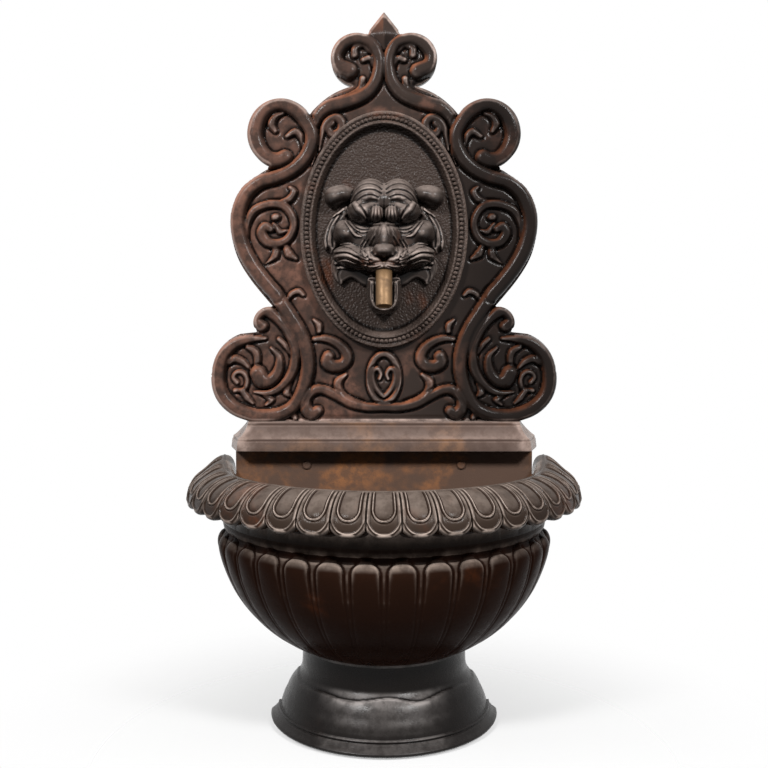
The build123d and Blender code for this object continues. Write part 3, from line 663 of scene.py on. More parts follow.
@dataclass
class BasinRim(Piece):
    """The overhanging rim with its lobes.

    What a lobe carries is given by height, place and half-width. Places across a lobe go from 0 in its middle to
    1 at its side, and those down it from 0 at the crest to 1 at the lip. The spare is what the plain curve stays
    inside the finished size, at the lip, outwards and upwards.
    """

    proud_mm: float = 0.9
    lobes: int = 20
    across: tuple[float, ...] = (
        0.0, 0.14, 0.27, 0.38, 0.46, 0.52, 0.56, 0.595, 0.625, 0.655, 0.69, 0.725, 0.76, 0.795, 0.825, 0.855,
        0.885, 0.915, 0.94, 0.96, 0.98,
    )
    crest_r: float = 222.0
    crest_z: float = 354.5
    end_rise: float = 13.0
    ends_from: Pair = (math.radians(64), math.radians(92))
    ends_above: float = 330.0
    ends_within: Pair = (224.0, 256.0)
    lip_r: float = 275.0
    lip_z: float = 312.0
    lip_roll: Pair = (7.0, 6.0)
    notch_mm: float = 11.0
    bore_r: float = 208.0
    joint_z: float = 284.0
    neck_r: float = 224.0
    lobe_mm: float = 77.0
    lobe_half: float = 20.0
    tip_mm: float = 10.0
    spare: Triple = (2.0, 1.2, 0.8)
    roll: Triple = (1.5, 0.85, 0.115)
    panel: Triple = (0.635, 31.0, 13.5)
    lines: tuple[Triple, ...] = ((2.3, 1.0, 0.085), (-0.9, 1.18, 0.06), (-0.5, 0.84, 0.06))
    cushion: Pair = (0.8, 0.85)
    dart: float = 2.8
    crest_bead: Triple = (0.9, 0.02, 0.016)

    def brow(self, run: Array, share: Array) -> tuple[Array, Array]:
        """Shapes the lobed quarter-round.

        Args:
            run: place from crest, 0, to lip, 1.
            share: place across a lobe, -1 to 1.

        Returns:
            Radii and heights.
        """
        side = np.abs(share)
        inset, sunk_r, sunk_z = self.spare
        reach = 1.0 - self.notch_mm / self.lobe_mm * np.clip(side, 0, 1) ** 3
        turn = run * reach * math.pi / 2
        radius = self.crest_r + (self.lip_r - inset - self.crest_r) * np.sin(turn)
        height = self.lip_z + (self.crest_z - self.lip_z) * np.cos(turn)
        left = (1.0 - run) * reach * self.lobe_mm
        # ways from the middle of a lobe to its border roll and to the edge of its inner panel
        rim_way = np.hypot(side, 0.88 * np.clip((self.tip_mm - left) / self.tip_mm, 0, 1))
        wide, start, length = self.panel
        panel_way = np.hypot(side / wide, np.clip((start - left) / length, 0, 2.4))
        tall, place, wide = self.roll
        lift = tall * np.clip(1 - ((rim_way - place) / wide) ** 2, 0, 1) ** 0.6
        lift = lift * step_up(panel_way, 1.08, 1.24)
        for tall, place, wide in self.lines:
            lift = lift + tall * hump(panel_way, place, wide)
        tall, wide = self.cushion
        lift = lift + tall * np.clip(1 - (panel_way / wide) ** 2, 0, 1)
        lift = lift - self.dart * step_up(side, 0.935, 0.965) * (1 - 0.7 * step_up(side, 0.975, 0.995))
        lift = lift * step_up(run, 0.02, 0.14) * math.radians(90.0 / self.lobes) * radius / self.lobe_half
        tall, place, wide = self.crest_bead
        lift = lift + tall * hump(run, place, wide)
        return radius + (lift - sunk_r) * np.sin(turn), height + (lift - sunk_z) * np.cos(turn)

    def underside(self, lip_r: Array, lip_z: Array) -> list[tuple[Array, Array]]:
        """Rolls the section under the lip and up the hollow to the joint with the bowl.

        Args:
            lip_r: radii along the lip's edge.
            lip_z: heights along it.

        Returns:
            Rows of radii and heights.
        """
        back, drop = self.lip_roll
        rows = []
        for turn in np.linspace(0.15, 1, 6) * math.pi / 2:
            rows.append((lip_r - back * (1 - math.cos(turn)), lip_z - drop * math.sin(turn)))
        for k in np.linspace(0.1, 1, 9):
            r = (lip_r - back) + (self.neck_r - lip_r + back) * math.sin(k * math.pi / 2)
            z = self.joint_z + (lip_z - drop - self.joint_z) * np.sqrt(np.clip(1 - k**2.6, 0, 1)) ** 0.8
            rows.append((r, z))
        return rows

    def inside(self) -> list[Pair]:
        """Draws the section up the bore and round to the crest.

        Returns:
            Radii and heights.
        """
        round_r = self.crest_r - self.bore_r
        top = self.crest_z - self.spare[2] - round_r
        rows = [(self.bore_r, self.joint_z + h) for h in (0, 20, 40, 52)]
        for turn in np.linspace(0.0, 0.95, 9) * math.pi / 2:
            rows.append((self.crest_r - round_r * math.cos(turn), top + round_r * math.sin(turn)))
        return rows

    def build(self) -> bpy.types.Object:
        """Makes the rim as a closed half ring.

        Returns:
            The new object.
        """
        half = np.array(self.across)
        share = np.concatenate([[-1.0], -half[:0:-1], half])
        last = self.lobes // 2
        place = np.concatenate([k + share / 2 for k in range(-last, last + 1)])
        place = np.concatenate([[-last], place[np.abs(place) < last], [last]])
        angle = place * math.radians(180.0 / self.lobes)
        run = np.concatenate([np.linspace(0, 0.08, 10)[:-1], np.linspace(0.08, 1, 58)])
        r_top, z_top = self.brow(run[:, None], 2 * (place - np.round(place))[None, :])
        rows = [*zip(r_top, z_top), *self.underside(r_top[-1], z_top[-1]), *self.inside()]
        radius = np.stack([np.broadcast_to(r, angle.shape) for r, _ in rows])
        height = np.stack([np.broadcast_to(z, angle.shape) for _, z in rows])
        # both ends sweep up to the wall
        ends = self.end_rise * step_up(np.abs(angle), *self.ends_from)
        ends = ends * step_up(height, self.ends_above, self.crest_z)
        height = height + ends * (1 - step_up(radius, *self.ends_within))
        shell = Shell()
        shell.turn_half(angle, radius, height)
        return shell.finish("rim", 60)

    def painted_shade(self, at: Array) -> Array:
        """Paints shade on the hollow under the lip, and more on the ends than on the middle.

        Args:
            at: the points, one row each.

        Returns:
            The painted shade, 0 for none to 1.
        """
        radius = np.hypot(at[:, 0], WALL_Y - at[:, 1])
        outside = step_up(radius, self.bore_r + 4, self.neck_r - 4)
        # painted shade in the hollow under the lip, where the lip's shadow falls
        hollow = 0.95 * (1 - step_up(at[:, 2], 292.0, 306.0)) * outside
        # painted shade growing towards both ends
        return np.maximum(hollow, 0.5 * step_up(np.abs(at[:, 0]), 70.0, 220.0))


@dataclass
class BasinBowl(Piece):
    """The half-round bowl with its upright tongues.

    A tongue's widths are shares of its place, at its foot, middle and top. Its swell is given from foot to top.
    """

    proud_mm: float = 0.9
    tongues: int = 16
    columns: int = 36
    foot_r: float = 115.0
    foot_z: float = 106.0
    belly: Pair = (180.0, 150.0)
    belly_r: float = 231.0
    belly_z: float = 248.0
    shoulder: Pair = (229.0, 260.0)
    top_z: float = 270.0
    neck_r: float = 224.0
    neck_z: tuple[float, ...] = (268.0, 271.0, 275.0, 280.0)
    joint_z: float = 284.0
    bore_r: float = 208.0
    well: Pair = (170.0, 158.0)
    floor_r: float = 100.0
    floor_z: float = 118.0
    eased: tuple[int, int, int] = (44, 78, 24)
    widths: Triple = (0.86, 0.82, 0.78)
    cap_mm: float = 19.0
    swell_mm: tuple[float, ...] = (0.2, 0.5, 0.8, 1.3, 3.6, 5.6)

    def profile(self) -> Array:
        """Draws the outside of the section from foot to joint, with the bends between its arcs eased.

        Returns:
            Radii and heights, one row each.
        """
        widest = (self.belly_r, self.belly_z)
        low = arc_through((self.foot_r, self.foot_z), self.belly, widest, 62)
        high = arc_through(widest, self.shoulder, (self.neck_r, self.neck_z[0]), 22)
        line = np.vstack([low, high, [(self.neck_r, z) for z in (*self.neck_z, self.joint_z)]])
        a, b, rounds = self.eased
        for _ in range(rounds):
            line[a:b] = (line[a - 1 : b - 1] + 2 * line[a:b] + line[a + 1 : b + 1]) / 4
        return line

    def lift(self, run: Array, top: float, share: Array) -> Array:
        """Works out how far the tongues stand out of the section.

        Args:
            run: lengths along the section from the foot.
            top: the length at which the tongues end.
            share: places across a tongue, 0 in its middle to 1.

        Returns:
            The heights, one row per length.
        """
        wide = np.interp(run, [0, 0.5 * top, top], self.widths)
        past = np.clip((run - (top - self.cap_mm)) / self.cap_mm, 0, 2)[:, None]
        way = np.hypot(share[None, :] / wide[:, None], past)
        swell = np.interp(run, [0, 25, 0.5 * top, 0.75 * top, 0.88 * top, top], self.swell_mm)[:, None]
        lift = swell * np.clip(1 - way**2, 0, 1) ** 0.5
        # dark line round each tongue, and a low rib up the strip between two
        lift = lift - (0.3 + 0.14 * swell) * hump(way, 1.05, 0.05) + 0.12 * swell * step_up(way, 1.10, 1.22)
        lift = (lift - 0.8 * swell) * (1 - step_up(run, top + 1, top + 7)[:, None])
        return np.where(run[:, None] < 0.5, 0.0, lift)

    def build(self) -> bpy.types.Object:
        """Makes the bowl as a closed half shell.

        Returns:
            The new object.
        """
        angle = np.linspace(-math.pi / 2, math.pi / 2, self.tongues * self.columns + 1)
        place = angle / math.radians(180.0 / self.tongues) + 0.5
        outer = self.profile()
        slope = np.gradient(outer, axis=0)
        slope /= np.hypot(*slope.T)[:, None]
        run = np.concatenate([[0], np.cumsum(np.hypot(*np.diff(outer, axis=0).T))])
        top = np.interp(self.top_z, outer[:, 1], run)
        lift = self.lift(run, top, np.abs(2 * (place - np.round(place))))
        radius = outer[:, :1] + lift * slope[:, 1:]
        height = np.maximum(outer[:, 1:] - lift * slope[:, :1], self.foot_z)
        inside = arc_through((self.bore_r, self.joint_z), self.well, (self.floor_r, self.floor_z), 26)
        floor = [(r, self.floor_z) for r in (self.floor_r, 66, 33, 0)]
        rest = np.vstack([inside, floor, [(r, self.foot_z) for r in (0, 40, 80)]])
        full = np.ones_like(angle)[None, :]
        radius, height = np.vstack([radius, rest[:, :1] * full]), np.vstack([height, rest[:, 1:] * full])
        shell = Shell()
        shell.turn_half(angle, radius, height)
        return shell.finish("bowl", 50)

    def painted_shade(self, at: Array) -> Array:
        """Paints shade on the neck under the rim, on the ends and on the lower belly.

        Args:
            at: the points, one row each.

        Returns:
            The painted shade, 0 for none to 1.
        """
        # painted shade: the neck in the rim's shadow, the ends, and darker towards the bottom
        neck = 0.95 * step_up(at[:, 2], 271.0, 277.0)
        ends = 0.75 * step_up(np.abs(at[:, 0]), 80.0, 190.0)
        return np.maximum(np.maximum(neck, ends), 0.7 * (1 - step_up(at[:, 2], 120.0, 240.0)))


@dataclass
class Foot(Piece):
    """The flared foot, a half shell with a bolting plate on top."""

    proud_mm: float = 0.5
    columns: int = 360
    plate_z: float = 96.0
    neck: Points = (
        (115, 106), (114.4, 101), (114.2, 94), (114.3, 86), (114.7, 78), (116, 71), (119.5, 65.4), (126, 57.4),
        (133, 47), (139, 36), (142.6, 26.5), (144.2, 21.4),
    )
    bead: Points = (
        (144.4, 20.4), (145.2, 19.8), (147.0, 20.2), (148.2, 19.2), (148.2, 17.6), (147.4, 16.6), (148.0, 15.8),
        (149.4, 15.2),
    )
    base: Points = (
        (150.6, 13.9), (153.4, 11.2), (156.4, 9.0), (158.4, 6.8), (157.6, 4.2), (154.4, 1.8), (150.4, 0.4),
        (147, 0),
    )
    inner: Points = ((138, 0), (136, 12), (134, 26), (129, 38), (122, 50), (113, 62), (106, 70), (106, 84))

    def build(self) -> bpy.types.Object:
        """Makes the foot as a closed half shell.

        Returns:
            The new object.
        """
        neck = smooth_line(self.neck, 6)
        under = [(r, self.plate_z) for r in (self.inner[-1][0], 70, 35, 0)]
        top = [(r, self.neck[0][1]) for r in (0, 40, 80)]
        outside = [neck, smooth_line(self.bead, 4), smooth_line(self.base, 5)]
        section = np.vstack([*outside, self.inner, under, top])
        angle = np.linspace(-math.pi / 2, math.pi / 2, self.columns + 1)
        on_neck = (np.arange(len(section)) < len(neck))[:, None]
        shell = Shell()
        radius = section[:, :1] + self.ledge(angle[None, :], section[:, 1:]) * on_neck
        shell.turn_half(angle, radius, section[:, 1:])
        return shell.finish("foot_casting", 40)

    @staticmethod
    def ledge(angle: Array, height: Array) -> Array:
        """Shapes the uneven lip of iron that the casting left where the neck meets the flare.

        Args:
            angle: angles round the foot.
            height: heights up the section.

        Returns:
            How far the lip stands out.
        """
        waves = 2.2 * np.sin(3.1 * angle + 0.4) + 1.6 * np.sin(7.7 * angle + 1.0)
        line = 63 + waves - 5.0 * hump(angle, 0.35, 0.22)
        return 1.9 * step_up(line - height, -1.2, 0.4) * step_up(height, 40.0, 58.0)

    def painted_shade(self, at: Array) -> Array:
        """Paints shade on the neck under the bowl, on the ends and on the base.

        Args:
            at: the points, one row each.

        Returns:
            The painted shade, 0 for none to 1.
        """
        # painted shade on the sides leaves the painted highlight on the front of the flare; the base and the neck
        # under the bowl are darkened too
        ends = 0.95 * step_up(np.abs(at[:, 0]), 35.0, 95.0)
        base = 0.7 * (1 - step_up(at[:, 2], 14.0, 24.0))
        return np.maximum(0.6 * step_up(at[:, 2], 66.0, 92.0), np.maximum(ends, base))


# Wall side


@dataclass
class Plinth(Piece):
    """The moulded base of the back plate, with splayed ends, a hollow behind and a tongue below."""

    proud_mm: float = 2.6
    front_columns: int = 60
    end_columns: int = 6
    levels: tuple[tuple[float, float, float, float], ...] = (
        (377.0, 46.8, 199.2, 212.8), (377.4, 47.6, 199.9, 213.6), (378.6, 48.0, 200.2, 214.0),
        (389.6, 48.0, 199.2, 212.6), (390.6, 47.7, 198.9, 212.2), (391.2, 46.8, 198.2, 211.4),
        (391.8, 47.0, 198.3, 211.5), (393.2, 47.2, 198.3, 211.4), (394.4, 46.8, 197.9, 210.8),
        (395.2, 45.4, 196.8, 209.6), (396.4, 43.6, 195.2, 208.0), (398.6, 41.2, 193.6, 205.4),
        (401.6, 38.8, 191.6, 202.2), (405.0, 36.6, 189.8, 198.8), (408.6, 34.8, 188.4, 195.6),
        (411.0, 34.0, 187.6, 193.6), (411.8, 33.2, 186.9, 192.8), (412.6, 33.6, 187.0, 192.6),
        (414.8, 33.4, 186.6, 191.4), (415.7, 32.8, 186.0, 190.9), (416.0, 31.9, 185.2, 190.2),
    )
    hollow: tuple[float, float, float, float] = (183.0, 385.0, 408.0, 25.0)
    tongue: Triple = (180.0, 332.0, 10.0)
    tongue_lap: float = 0.5

    def build(self) -> bpy.types.Object:
        """Makes the plinth.

        Returns:
            The new object.
        """
        rings = []
        for z, depth, front, back in self.levels:
            side, out = np.linspace(front, back, self.end_columns), np.linspace(depth, 0, self.end_columns)
            face = np.linspace(-front, front, self.front_columns)[1:-1]
            across = np.concatenate([-side[::-1], face, side])
            rings.append(from_wall(across, np.concatenate([out[::-1], np.full(len(face), depth), out]), z))
        n, count = len(rings[0]), len(rings)
        ends = [[row * n + i for i in range(n)] for row in (0, count - 1)]
        shell = Shell()
        shell.add(np.vstack(rings), grid_faces(count, n) + ends)
        self.close_back(shell, n, count)
        half, low, depth = self.tongue
        high = self.levels[0][0] + self.tongue_lap
        square = ((-half, low), (half, low), (half, high), (-half, high))
        corners = [(x, d, z) for d in (0.0, depth) for x, z in square]
        faces = [[0, 1, 2, 3], [4, 5, 6, 7], [0, 1, 5, 4], [1, 2, 6, 5], [2, 3, 7, 6], [3, 0, 4, 7]]
        shell.add(from_wall(*np.array(corners).T), faces)
        return shell.finish("plinth_moulding", 32)

    def close_back(self, shell: Shell, n: int, count: int) -> None:
        """Closes the back round the hollow.

        Args:
            shell: the mesh, which holds only the rings so far.
            n: points in a ring.
            count: number of rings.
        """
        half, low, high, depth = self.hollow
        left = [i * n for i in range(count)]
        right = [i * n + n - 1 for i in reversed(range(count))]
        square = [(-half, low), (half, low), (half, high), (-half, high)]
        start = shell.add(from_wall(*np.array([(x, 0.0, z) for x, z in square]).T), [])
        shell.add(from_wall(*np.array([(x, depth, z) for x, z in square]).T), [])
        a, b, c, d = range(start, start + 4)
        e, f, g, h = range(start + 4, start + 8)
        mid = count // 2
        shell.faces += [[left[0], right[-1], b, a], [left[-1], d, c, right[0]]]
        shell.faces += [left[: mid + 1] + [a], [left[mid], *left[mid + 1 :], d, a]]
        back = right[::-1]
        shell.faces += [back[: mid + 1] + [b], [back[mid], *back[mid + 1 :], c, b]]
        shell.faces += [[a, b, f, e], [b, c, g, f], [c, d, h, g], [d, a, e, h], [e, f, g, h]]


@dataclass(frozen=True)
class Strand:
    """A rolled strand of scrollwork: points across and up the plate, and widths along it, millimetres."""

    points: Points
    widths: Sequence[float]
    lift: float = 1.0

    def line(self) -> tuple[Array, Array]:
        """Smooths the strand.

        Returns:
            Its centre line and its half-widths.
        """
        line = smooth_line(self.points, 4)
        place = np.linspace(0, len(self.widths) - 1, len(line))
        return line, np.interp(place, np.arange(len(self.widths)), self.widths) / 2


LEAVES = (
    Strand(((217, 81), (207, 86), (195, 82), (185, 72)), (11, 12.5, 9.7, 4.2)),
    Strand(((188, 103), (177, 95), (175, 82), (179, 72)), (8.3, 11, 9.7, 4.2)),
    Strand(((203, 53), (208, 60), (204, 67), (195, 67), (189, 57), (193, 44), (206, 42)), (7, 7)),
    Strand(((196, 42), (189, 32), (181, 24)), (8.3, 9.7, 4.2)),
    Strand(((165, 36), (156, 29), (163, 22)), (7, 9.7, 4.2)),
    Strand(((131, 51), (135, 40), (128, 33)), (7, 11, 4.2)),
    Strand(((145, 113), (135, 104), (129, 92)), (7, 9.7, 4.2)),
    Strand(((138, 14), (128, 10), (122, 3)), (7, 11, 5.5)),
    Strand(((138, 424), (149, 420), (154, 409), (149, 399)), (5.5, 11, 12.5, 7)),
    Strand(((133, 392), (122, 398), (114, 392), (111, 378)), (7, 11, 9.7, 4.2)),
    Strand(((40, 503), (39, 513), (28, 516), (18, 506)), (11, 11, 7, 4.2)),
    Strand(((28, 496), (18, 498), (13, 486)), (8.3, 9.7, 4.2)),
    Strand(((29, 470), (31, 457), (46, 449), (64, 445)), (9.7, 11, 8.3, 4.2)),
    Strand(((152, 272), (143, 261), (132, 263)), (5.5, 8.3, 4.2)),
    Strand(((156, 299), (139, 302), (129, 307), (124, 316), (129, 322)), (7, 9.7, 11, 9.7, 5.5)),
    Strand(((136, 243), (131, 231), (121, 224)), (7, 12.5, 5.5)),
    Strand(((149, 239), (150, 228), (163, 217)), (11, 11, 1.5)),
    Strand(((136, 163), (128, 175), (118, 179), (111, 174)), (4, 8.3, 9.7, 5.5)),
    Strand(((89, 124), (90, 133), (97, 140)), (8.3, 9.7, 4.2)),
    Strand(
        (
            (6, 58), (4, 65), (8.5, 72), (15, 69), (16, 59), (12, 47), (5, 38), (0, 34),
        ),
        (5, 6, 7, 8.5, 8.5, 8, 7.5, 7),
    ),
    Strand(((95, 403), (93, 374), (99, 353)), (5, 3.5, 2.5)),
)
SCROLLS = (
    Strand(((174, 66), (168, 56), (156, 56), (146, 70), (145, 89), (156, 101)), (23, 24, 19, 15, 10, 4.2)),
    Strand(
        (
            (189, 253), (189, 272), (178, 291), (157, 299), (139, 297), (128, 286), (124, 270), (131, 253),
            (145, 245), (160, 247), (168, 259), (164, 268), (156, 265),
        ),
        (5.5, 11, 12.5, 12.5, 12, 11, 11, 12, 13, 14.5, 15.3, 14, 11),
    ),
    Strand(((148, 281), (150, 281)), (11, 11), 1.2),
    Strand(
        (
            (89, 373), (86, 392), (79, 411), (67, 418), (58, 411), (60, 399), (71, 395), (76, 404),
            (71, 410),
        ),
        (3, 7, 11, 13, 13, 12, 11, 10, 10),
    ),
    Strand(((53, 64), (63, 54), (61, 40), (49, 31), (31, 26)), (5.5, 12.5, 12.5, 9.7, 4.2)),
    Strand(
        (
            (97, 113), (82, 114), (67, 109), (55, 99), (51, 87), (57, 78), (69, 75.5), (78, 81), (77, 89),
        ),
        (7, 11, 13, 15, 16.5, 17.5, 19, 19.5, 17),
    ),
    Strand(
        (
            (92, 14), (100, 10), (108, 18), (108, 32), (97, 42), (83, 43), (65, 35), (44, 24), (22, 19),
            (0, 19),
        ),
        (15.3, 18, 18, 16.7, 15.3, 14, 14, 14.5, 13, 12),
    ),
    Strand(
        (
            (168, 131), (177, 140), (164, 152), (143, 140), (128, 118), (122, 95), (126, 70), (139, 50),
            (158, 39), (179, 40),
        ),
        (16.7, 16.7, 16.7, 16.7, 16.5, 15, 14, 12.5, 10, 4),
    ),
)
BORDERS = (
    Strand(
        (
            (149, 175), (132, 149), (117, 125), (108, 100), (105, 75), (110, 50), (121, 26), (136, 13),
            (158, 7), (183, 8), (207, 18), (224, 36), (229, 61), (223, 88), (207, 106), (186, 113),
            (164, 114),
        ),
        (21.5, 21, 21, 20, 19, 19, 20, 21, 21, 20.5, 19, 15, 5.5),
    ),
    Strand(
        (
            (47, 481), (63, 489), (66, 503), (56, 518), (38, 525), (18, 520), (8, 503), (7, 484), (13, 464),
            (28, 448), (53, 438), (76, 432), (90, 420), (95, 403),
        ),
        (23.5, 22, 21, 19.5, 18, 16.7, 16.7, 16.7, 18, 19.5, 21.5, 20.9, 16.7, 5.6),
    ),
    Strand(
        (
            (136, 363), (146, 359), (161, 362), (173, 377), (177, 396), (171, 418), (157, 432), (139, 436),
            (120, 427), (106, 411), (99, 395), (101, 378), (110, 361), (125, 347), (147, 336), (171, 329),
            (189, 314), (199, 292), (201, 270), (196, 245), (185, 221), (168, 197), (149, 175),
        ),
        (22.5, 24, 23.5, 21, 19.5, 19.5, 20.5, 21.5, 22, 21.5),
    ),
)


@dataclass
class BackPlate(Piece):
    """The scrolled back plate: a raised relief inside a cut outline, flat behind.

    The small oval is given by its half-width, half-height, height up the plate and the half-width of its roll,
    the diamond by its height up the plate, its half-width and its lower half's height.
    """

    proud_mm: float = 2.4
    # upward faces are counted leaning 45 degrees to the left, so the painted highlight and its orange tint fall on
    # upper-left faces
    lean: float = 45.0
    pitch: float = 1.45
    tip: float = 561.0
    half_width: float = 240.0
    field_depth: float = 17.5
    edge_drop: float = 7.0
    window: Pair = (95.0, 139.5)
    oval_v: float = 263.0
    small_oval: tuple[float, float, float, float] = (20.4, 33.5, 59.0, 4.9)
    diamond: Triple = (530.0, 25.0, 20.0)
    screws: Pair = (74.0, 107.0)
    wall_holes: Pair = (140.0, 396.0)
    hole_sides: int = 24
    evened: int = 4

    def outline(self) -> Array:
        """Draws the closed outline of the plate.

        Returns:
            Places across and up, one row each.
        """
        flank = (
            (156, 351), (176, 339), (197.5, 321), (210, 296), (212.7, 267), (204, 229), (185, 196), (154, 158),
        )
        right = [
            np.linspace((0, self.tip), (25, 530), 14, endpoint=False),
            arc_through((25, 530), (71, 507), (44, 462), 40),
            arc_through((44, 462), (79, 446), (102.5, 423.5), 24),
            arc_through((102.5, 423.5), (185.5, 409), (156, 351), 50),
            smooth_line(flank, 8)[:-1],
            arc_through((154, 158), (175, 149.5), (176, 123), 20),
            np.linspace((176, 123), (199, 120.5), 6, endpoint=False),
            arc_through((199, 120.5), (229, 98), (239, 58.5), 24),
            arc_through((239, 58.5), (227, 24), (199, 4.2), 22),
            np.linspace((199, 4.2), (186, 0), 5, endpoint=False),
            np.linspace((186, 0), (0, 0), 30),
        ]
        half = np.vstack(right)
        return np.vstack([half, half[-2:0:-1] * (-1, 1)])

    def oval(self) -> Array:
        """Gives the closed outline of the window behind the medallion."""
        turn = np.linspace(0, math.tau, 160, endpoint=False)
        return np.stack([self.window[0] * np.cos(turn), self.oval_v + self.window[1] * np.sin(turn)], axis=-1)

    def relief(self, at: Array, edge: Array) -> Array:
        """Works out how far the front stands from the wall.

        Args:
            at: places across and up, one row each.
            edge: distance of each from the outline.

        Returns:
            The depth at each place.
        """
        folded = np.stack([np.abs(at[:, 0]), at[:, 1]], axis=-1)
        rounded = (1 - step_up(edge, 0.0, 9.0)) * step_up(at[:, 1], 0.0, 14.0)
        depth = self.field_depth - self.edge_drop * rounded
        turn = np.linspace(0, math.tau, 60)
        wide, tall, middle, roll = self.small_oval
        ring = np.stack([wide * np.sin(turn), middle + tall * np.cos(turn)], axis=-1)
        depth = self.lay(depth, folded, ring, np.full(len(ring), roll), 1.0)
        for strand in (*LEAVES, *SCROLLS, *BORDERS):
            line, half = strand.line()
            depth = self.lay(depth, folded, line, half, strand.lift)
        # ridged diamond at the top
        middle, wide, low = self.diamond
        up = folded[:, 1] - middle
        up = np.where(up > 0, up / (self.tip - middle), -up / low)
        facet = folded[:, 0] / wide + np.hypot(up, 0.15) - 0.05
        return np.where(facet < 1, np.maximum(depth, 19 + 10 * (1 - facet)), depth)

    @staticmethod
    def lay(depth: Array, at: Array, line: Array, half: Array, lift: float) -> Array:
        """Lays one roll over the relief, cutting a shadow line beside it.

        Args:
            depth: the relief so far.
            at: places across and up.
            line: the roll's centre line.
            half: its half-widths.
            lift: factor on its height.

        Returns:
            The relief with the roll.
        """
        low, high = line.min(axis=0) - 14, line.max(axis=0) + 14
        near = np.all((at > low) & (at < high), axis=1)
        gap, width = line_distance(at[near], line, half)
        width = np.maximum(width, 0.8)
        across = np.clip(1 + gap / width, 0, 3)
        tall = lift * (2.6 + 0.78 * width)
        body = 16.5 + tall * np.clip(1 - across**2.6, 0, 1) ** 0.55
        under = depth[near] - 1.6 * hump(gap, 1.0, 2.3)
        result = depth.copy()
        result[near] = np.where(across < 1, np.maximum(body, under), under)
        return result

    def build(self) -> bpy.types.Object:
        """Makes the plate.

        Returns:
            The new object.
        """
        outline, oval = self.outline(), self.oval()
        columns = np.arange(-self.half_width, self.half_width + self.pitch, self.pitch)
        rows = np.arange(0, self.tip + self.pitch, self.pitch)
        middles = np.meshgrid(columns[:-1] + self.pitch / 2, rows[:-1] + self.pitch / 2, indexing="ij")
        centres = np.stack(middles, -1).reshape(-1, 2)
        keep = inside_line(centres, outline) & ~inside_line(centres, oval)
        used, flat = np.unique(np.array(grid_faces(len(columns), len(rows)))[keep], return_inverse=True)
        cells = flat.reshape(-1, 4)
        at = np.stack([columns[used // len(rows)], rows[used % len(rows)]], axis=-1)
        loops = self.edge_loops(cells)
        closed, ring = np.vstack([outline, outline[:1]]), np.vstack([oval, oval[:1]])
        for loop in loops:
            from_middle = np.hypot(*((at[loop] - (0, self.oval_v)) / self.window).T).mean()
            line = ring if from_middle < 1.2 else closed
            at[loop] = self.snap(at[loop], line)
            for _ in range(self.evened):
                even = (np.roll(at[loop], 1, axis=0) + 2 * at[loop] + np.roll(at[loop], -1, axis=0)) / 4
                at[loop] = self.snap(even, line)
        edge, _ = line_distance(at, closed)
        depth = self.relief(at, edge)
        shell = Shell()
        shell.add(from_wall(at[:, 0], depth, PLATE_Z + at[:, 1]), cells.tolist())
        backs = []
        for loop in loops:
            n = len(loop)
            start = shell.add(from_wall(at[loop, 0], 0.0, PLATE_Z + at[loop, 1]), [])
            shell.faces += [[loop[i], loop[(i + 1) % n], start + (i + 1) % n, start + i] for i in range(n)]
            backs.append(list(range(start, start + n)))
        self.close_back(shell, backs)
        return shell.finish("scroll_plate", 55)

    def painted_shade(self, at: Array) -> Array:
        """Paints shade on the plate's sides and back."""
        # painted shade up to 9 mm from the wall, fading out by 16 mm
        return 0.6 * (1 - step_up(WALL_Y - at[:, 1], 9.0, 16.0))

    @staticmethod
    def edge_loops(cells: Array) -> list[list[int]]:
        """Chains the open edges of the cells into closed loops.

        Args:
            cells: four-sided faces.

        Returns:
            The point indices of each loop, in order.
        """
        ways = np.vstack([cells[:, [k, (k + 1) % 4]] for k in range(4)])
        have = {(int(a), int(b)) for a, b in ways}
        follow: dict[int, list[int]] = {}
        for a, b in sorted(have):
            if (b, a) not in have:
                follow.setdefault(a, []).append(b)
        loops = []
        while follow:
            start = next(iter(follow))
            loop = [start]
            while True:
                after = follow[loop[-1]].pop()
                if not follow[loop[-1]]:
                    del follow[loop[-1]]
                if after == start:
                    break
                loop.append(after)
            loops.append(loop)
        return loops

    @staticmethod
    def snap(points: Array, line: Array) -> Array:
        """Moves points to the nearest place on a line.

        Args:
            points: points in a plane, one row each.
            line: the line's corners.

        Returns:
            The moved points.
        """
        best = np.full(len(points), FAR)
        moved = points.copy()
        for foot, _ in feet_on(points, line):
            gap = np.hypot(*(points - foot).T)
            near = gap < best
            best = np.where(near, gap, best)
            moved[near] = foot[near]
        return moved

    def close_back(self, shell: Shell, loops: list[list[int]]) -> None:
        """Closes the flat back, leaving the screw and wall holes sunk in it.

        Args:
            shell: the mesh.
            loops: the point indices of the back's edges.
        """
        n = self.hole_sides
        turn = np.linspace(0, math.tau, n, endpoint=False)
        sx, sv = self.screws
        hx, hv = self.wall_holes
        sunk = [((x, self.oval_v + v), 7.0, 3.3, 4.0) for x in (-sx, sx) for v in (-sv, sv)]
        sunk += [((x, hv), 3.4, 3.4, 15.0) for x in (-hx, hx)]
        rims = []
        for (x, v), mouth, end, depth in sunk:
            outer = from_wall(x + mouth * np.cos(turn), 0.0, PLATE_Z + v + mouth * np.sin(turn))
            inner = from_wall(x + end * np.cos(turn), depth, PLATE_Z + v + end * np.sin(turn))
            faces = grid_faces(2, n, turn=True) + [list(range(n, 2 * n))]
            start = shell.add(np.vstack([outer, inner]), faces)
            rims.append(list(range(start, start + n)))
        points = np.vstack(shell.points)
        flat = [i for loop in (*loops, *rims) for i in loop]
        lines = [[Vector((points[i][0], points[i][2], 0)) for i in loop] for loop in (*loops, *rims)]
        shell.faces += [[flat[i] for i in face] for face in tessellate_polygon(lines)]


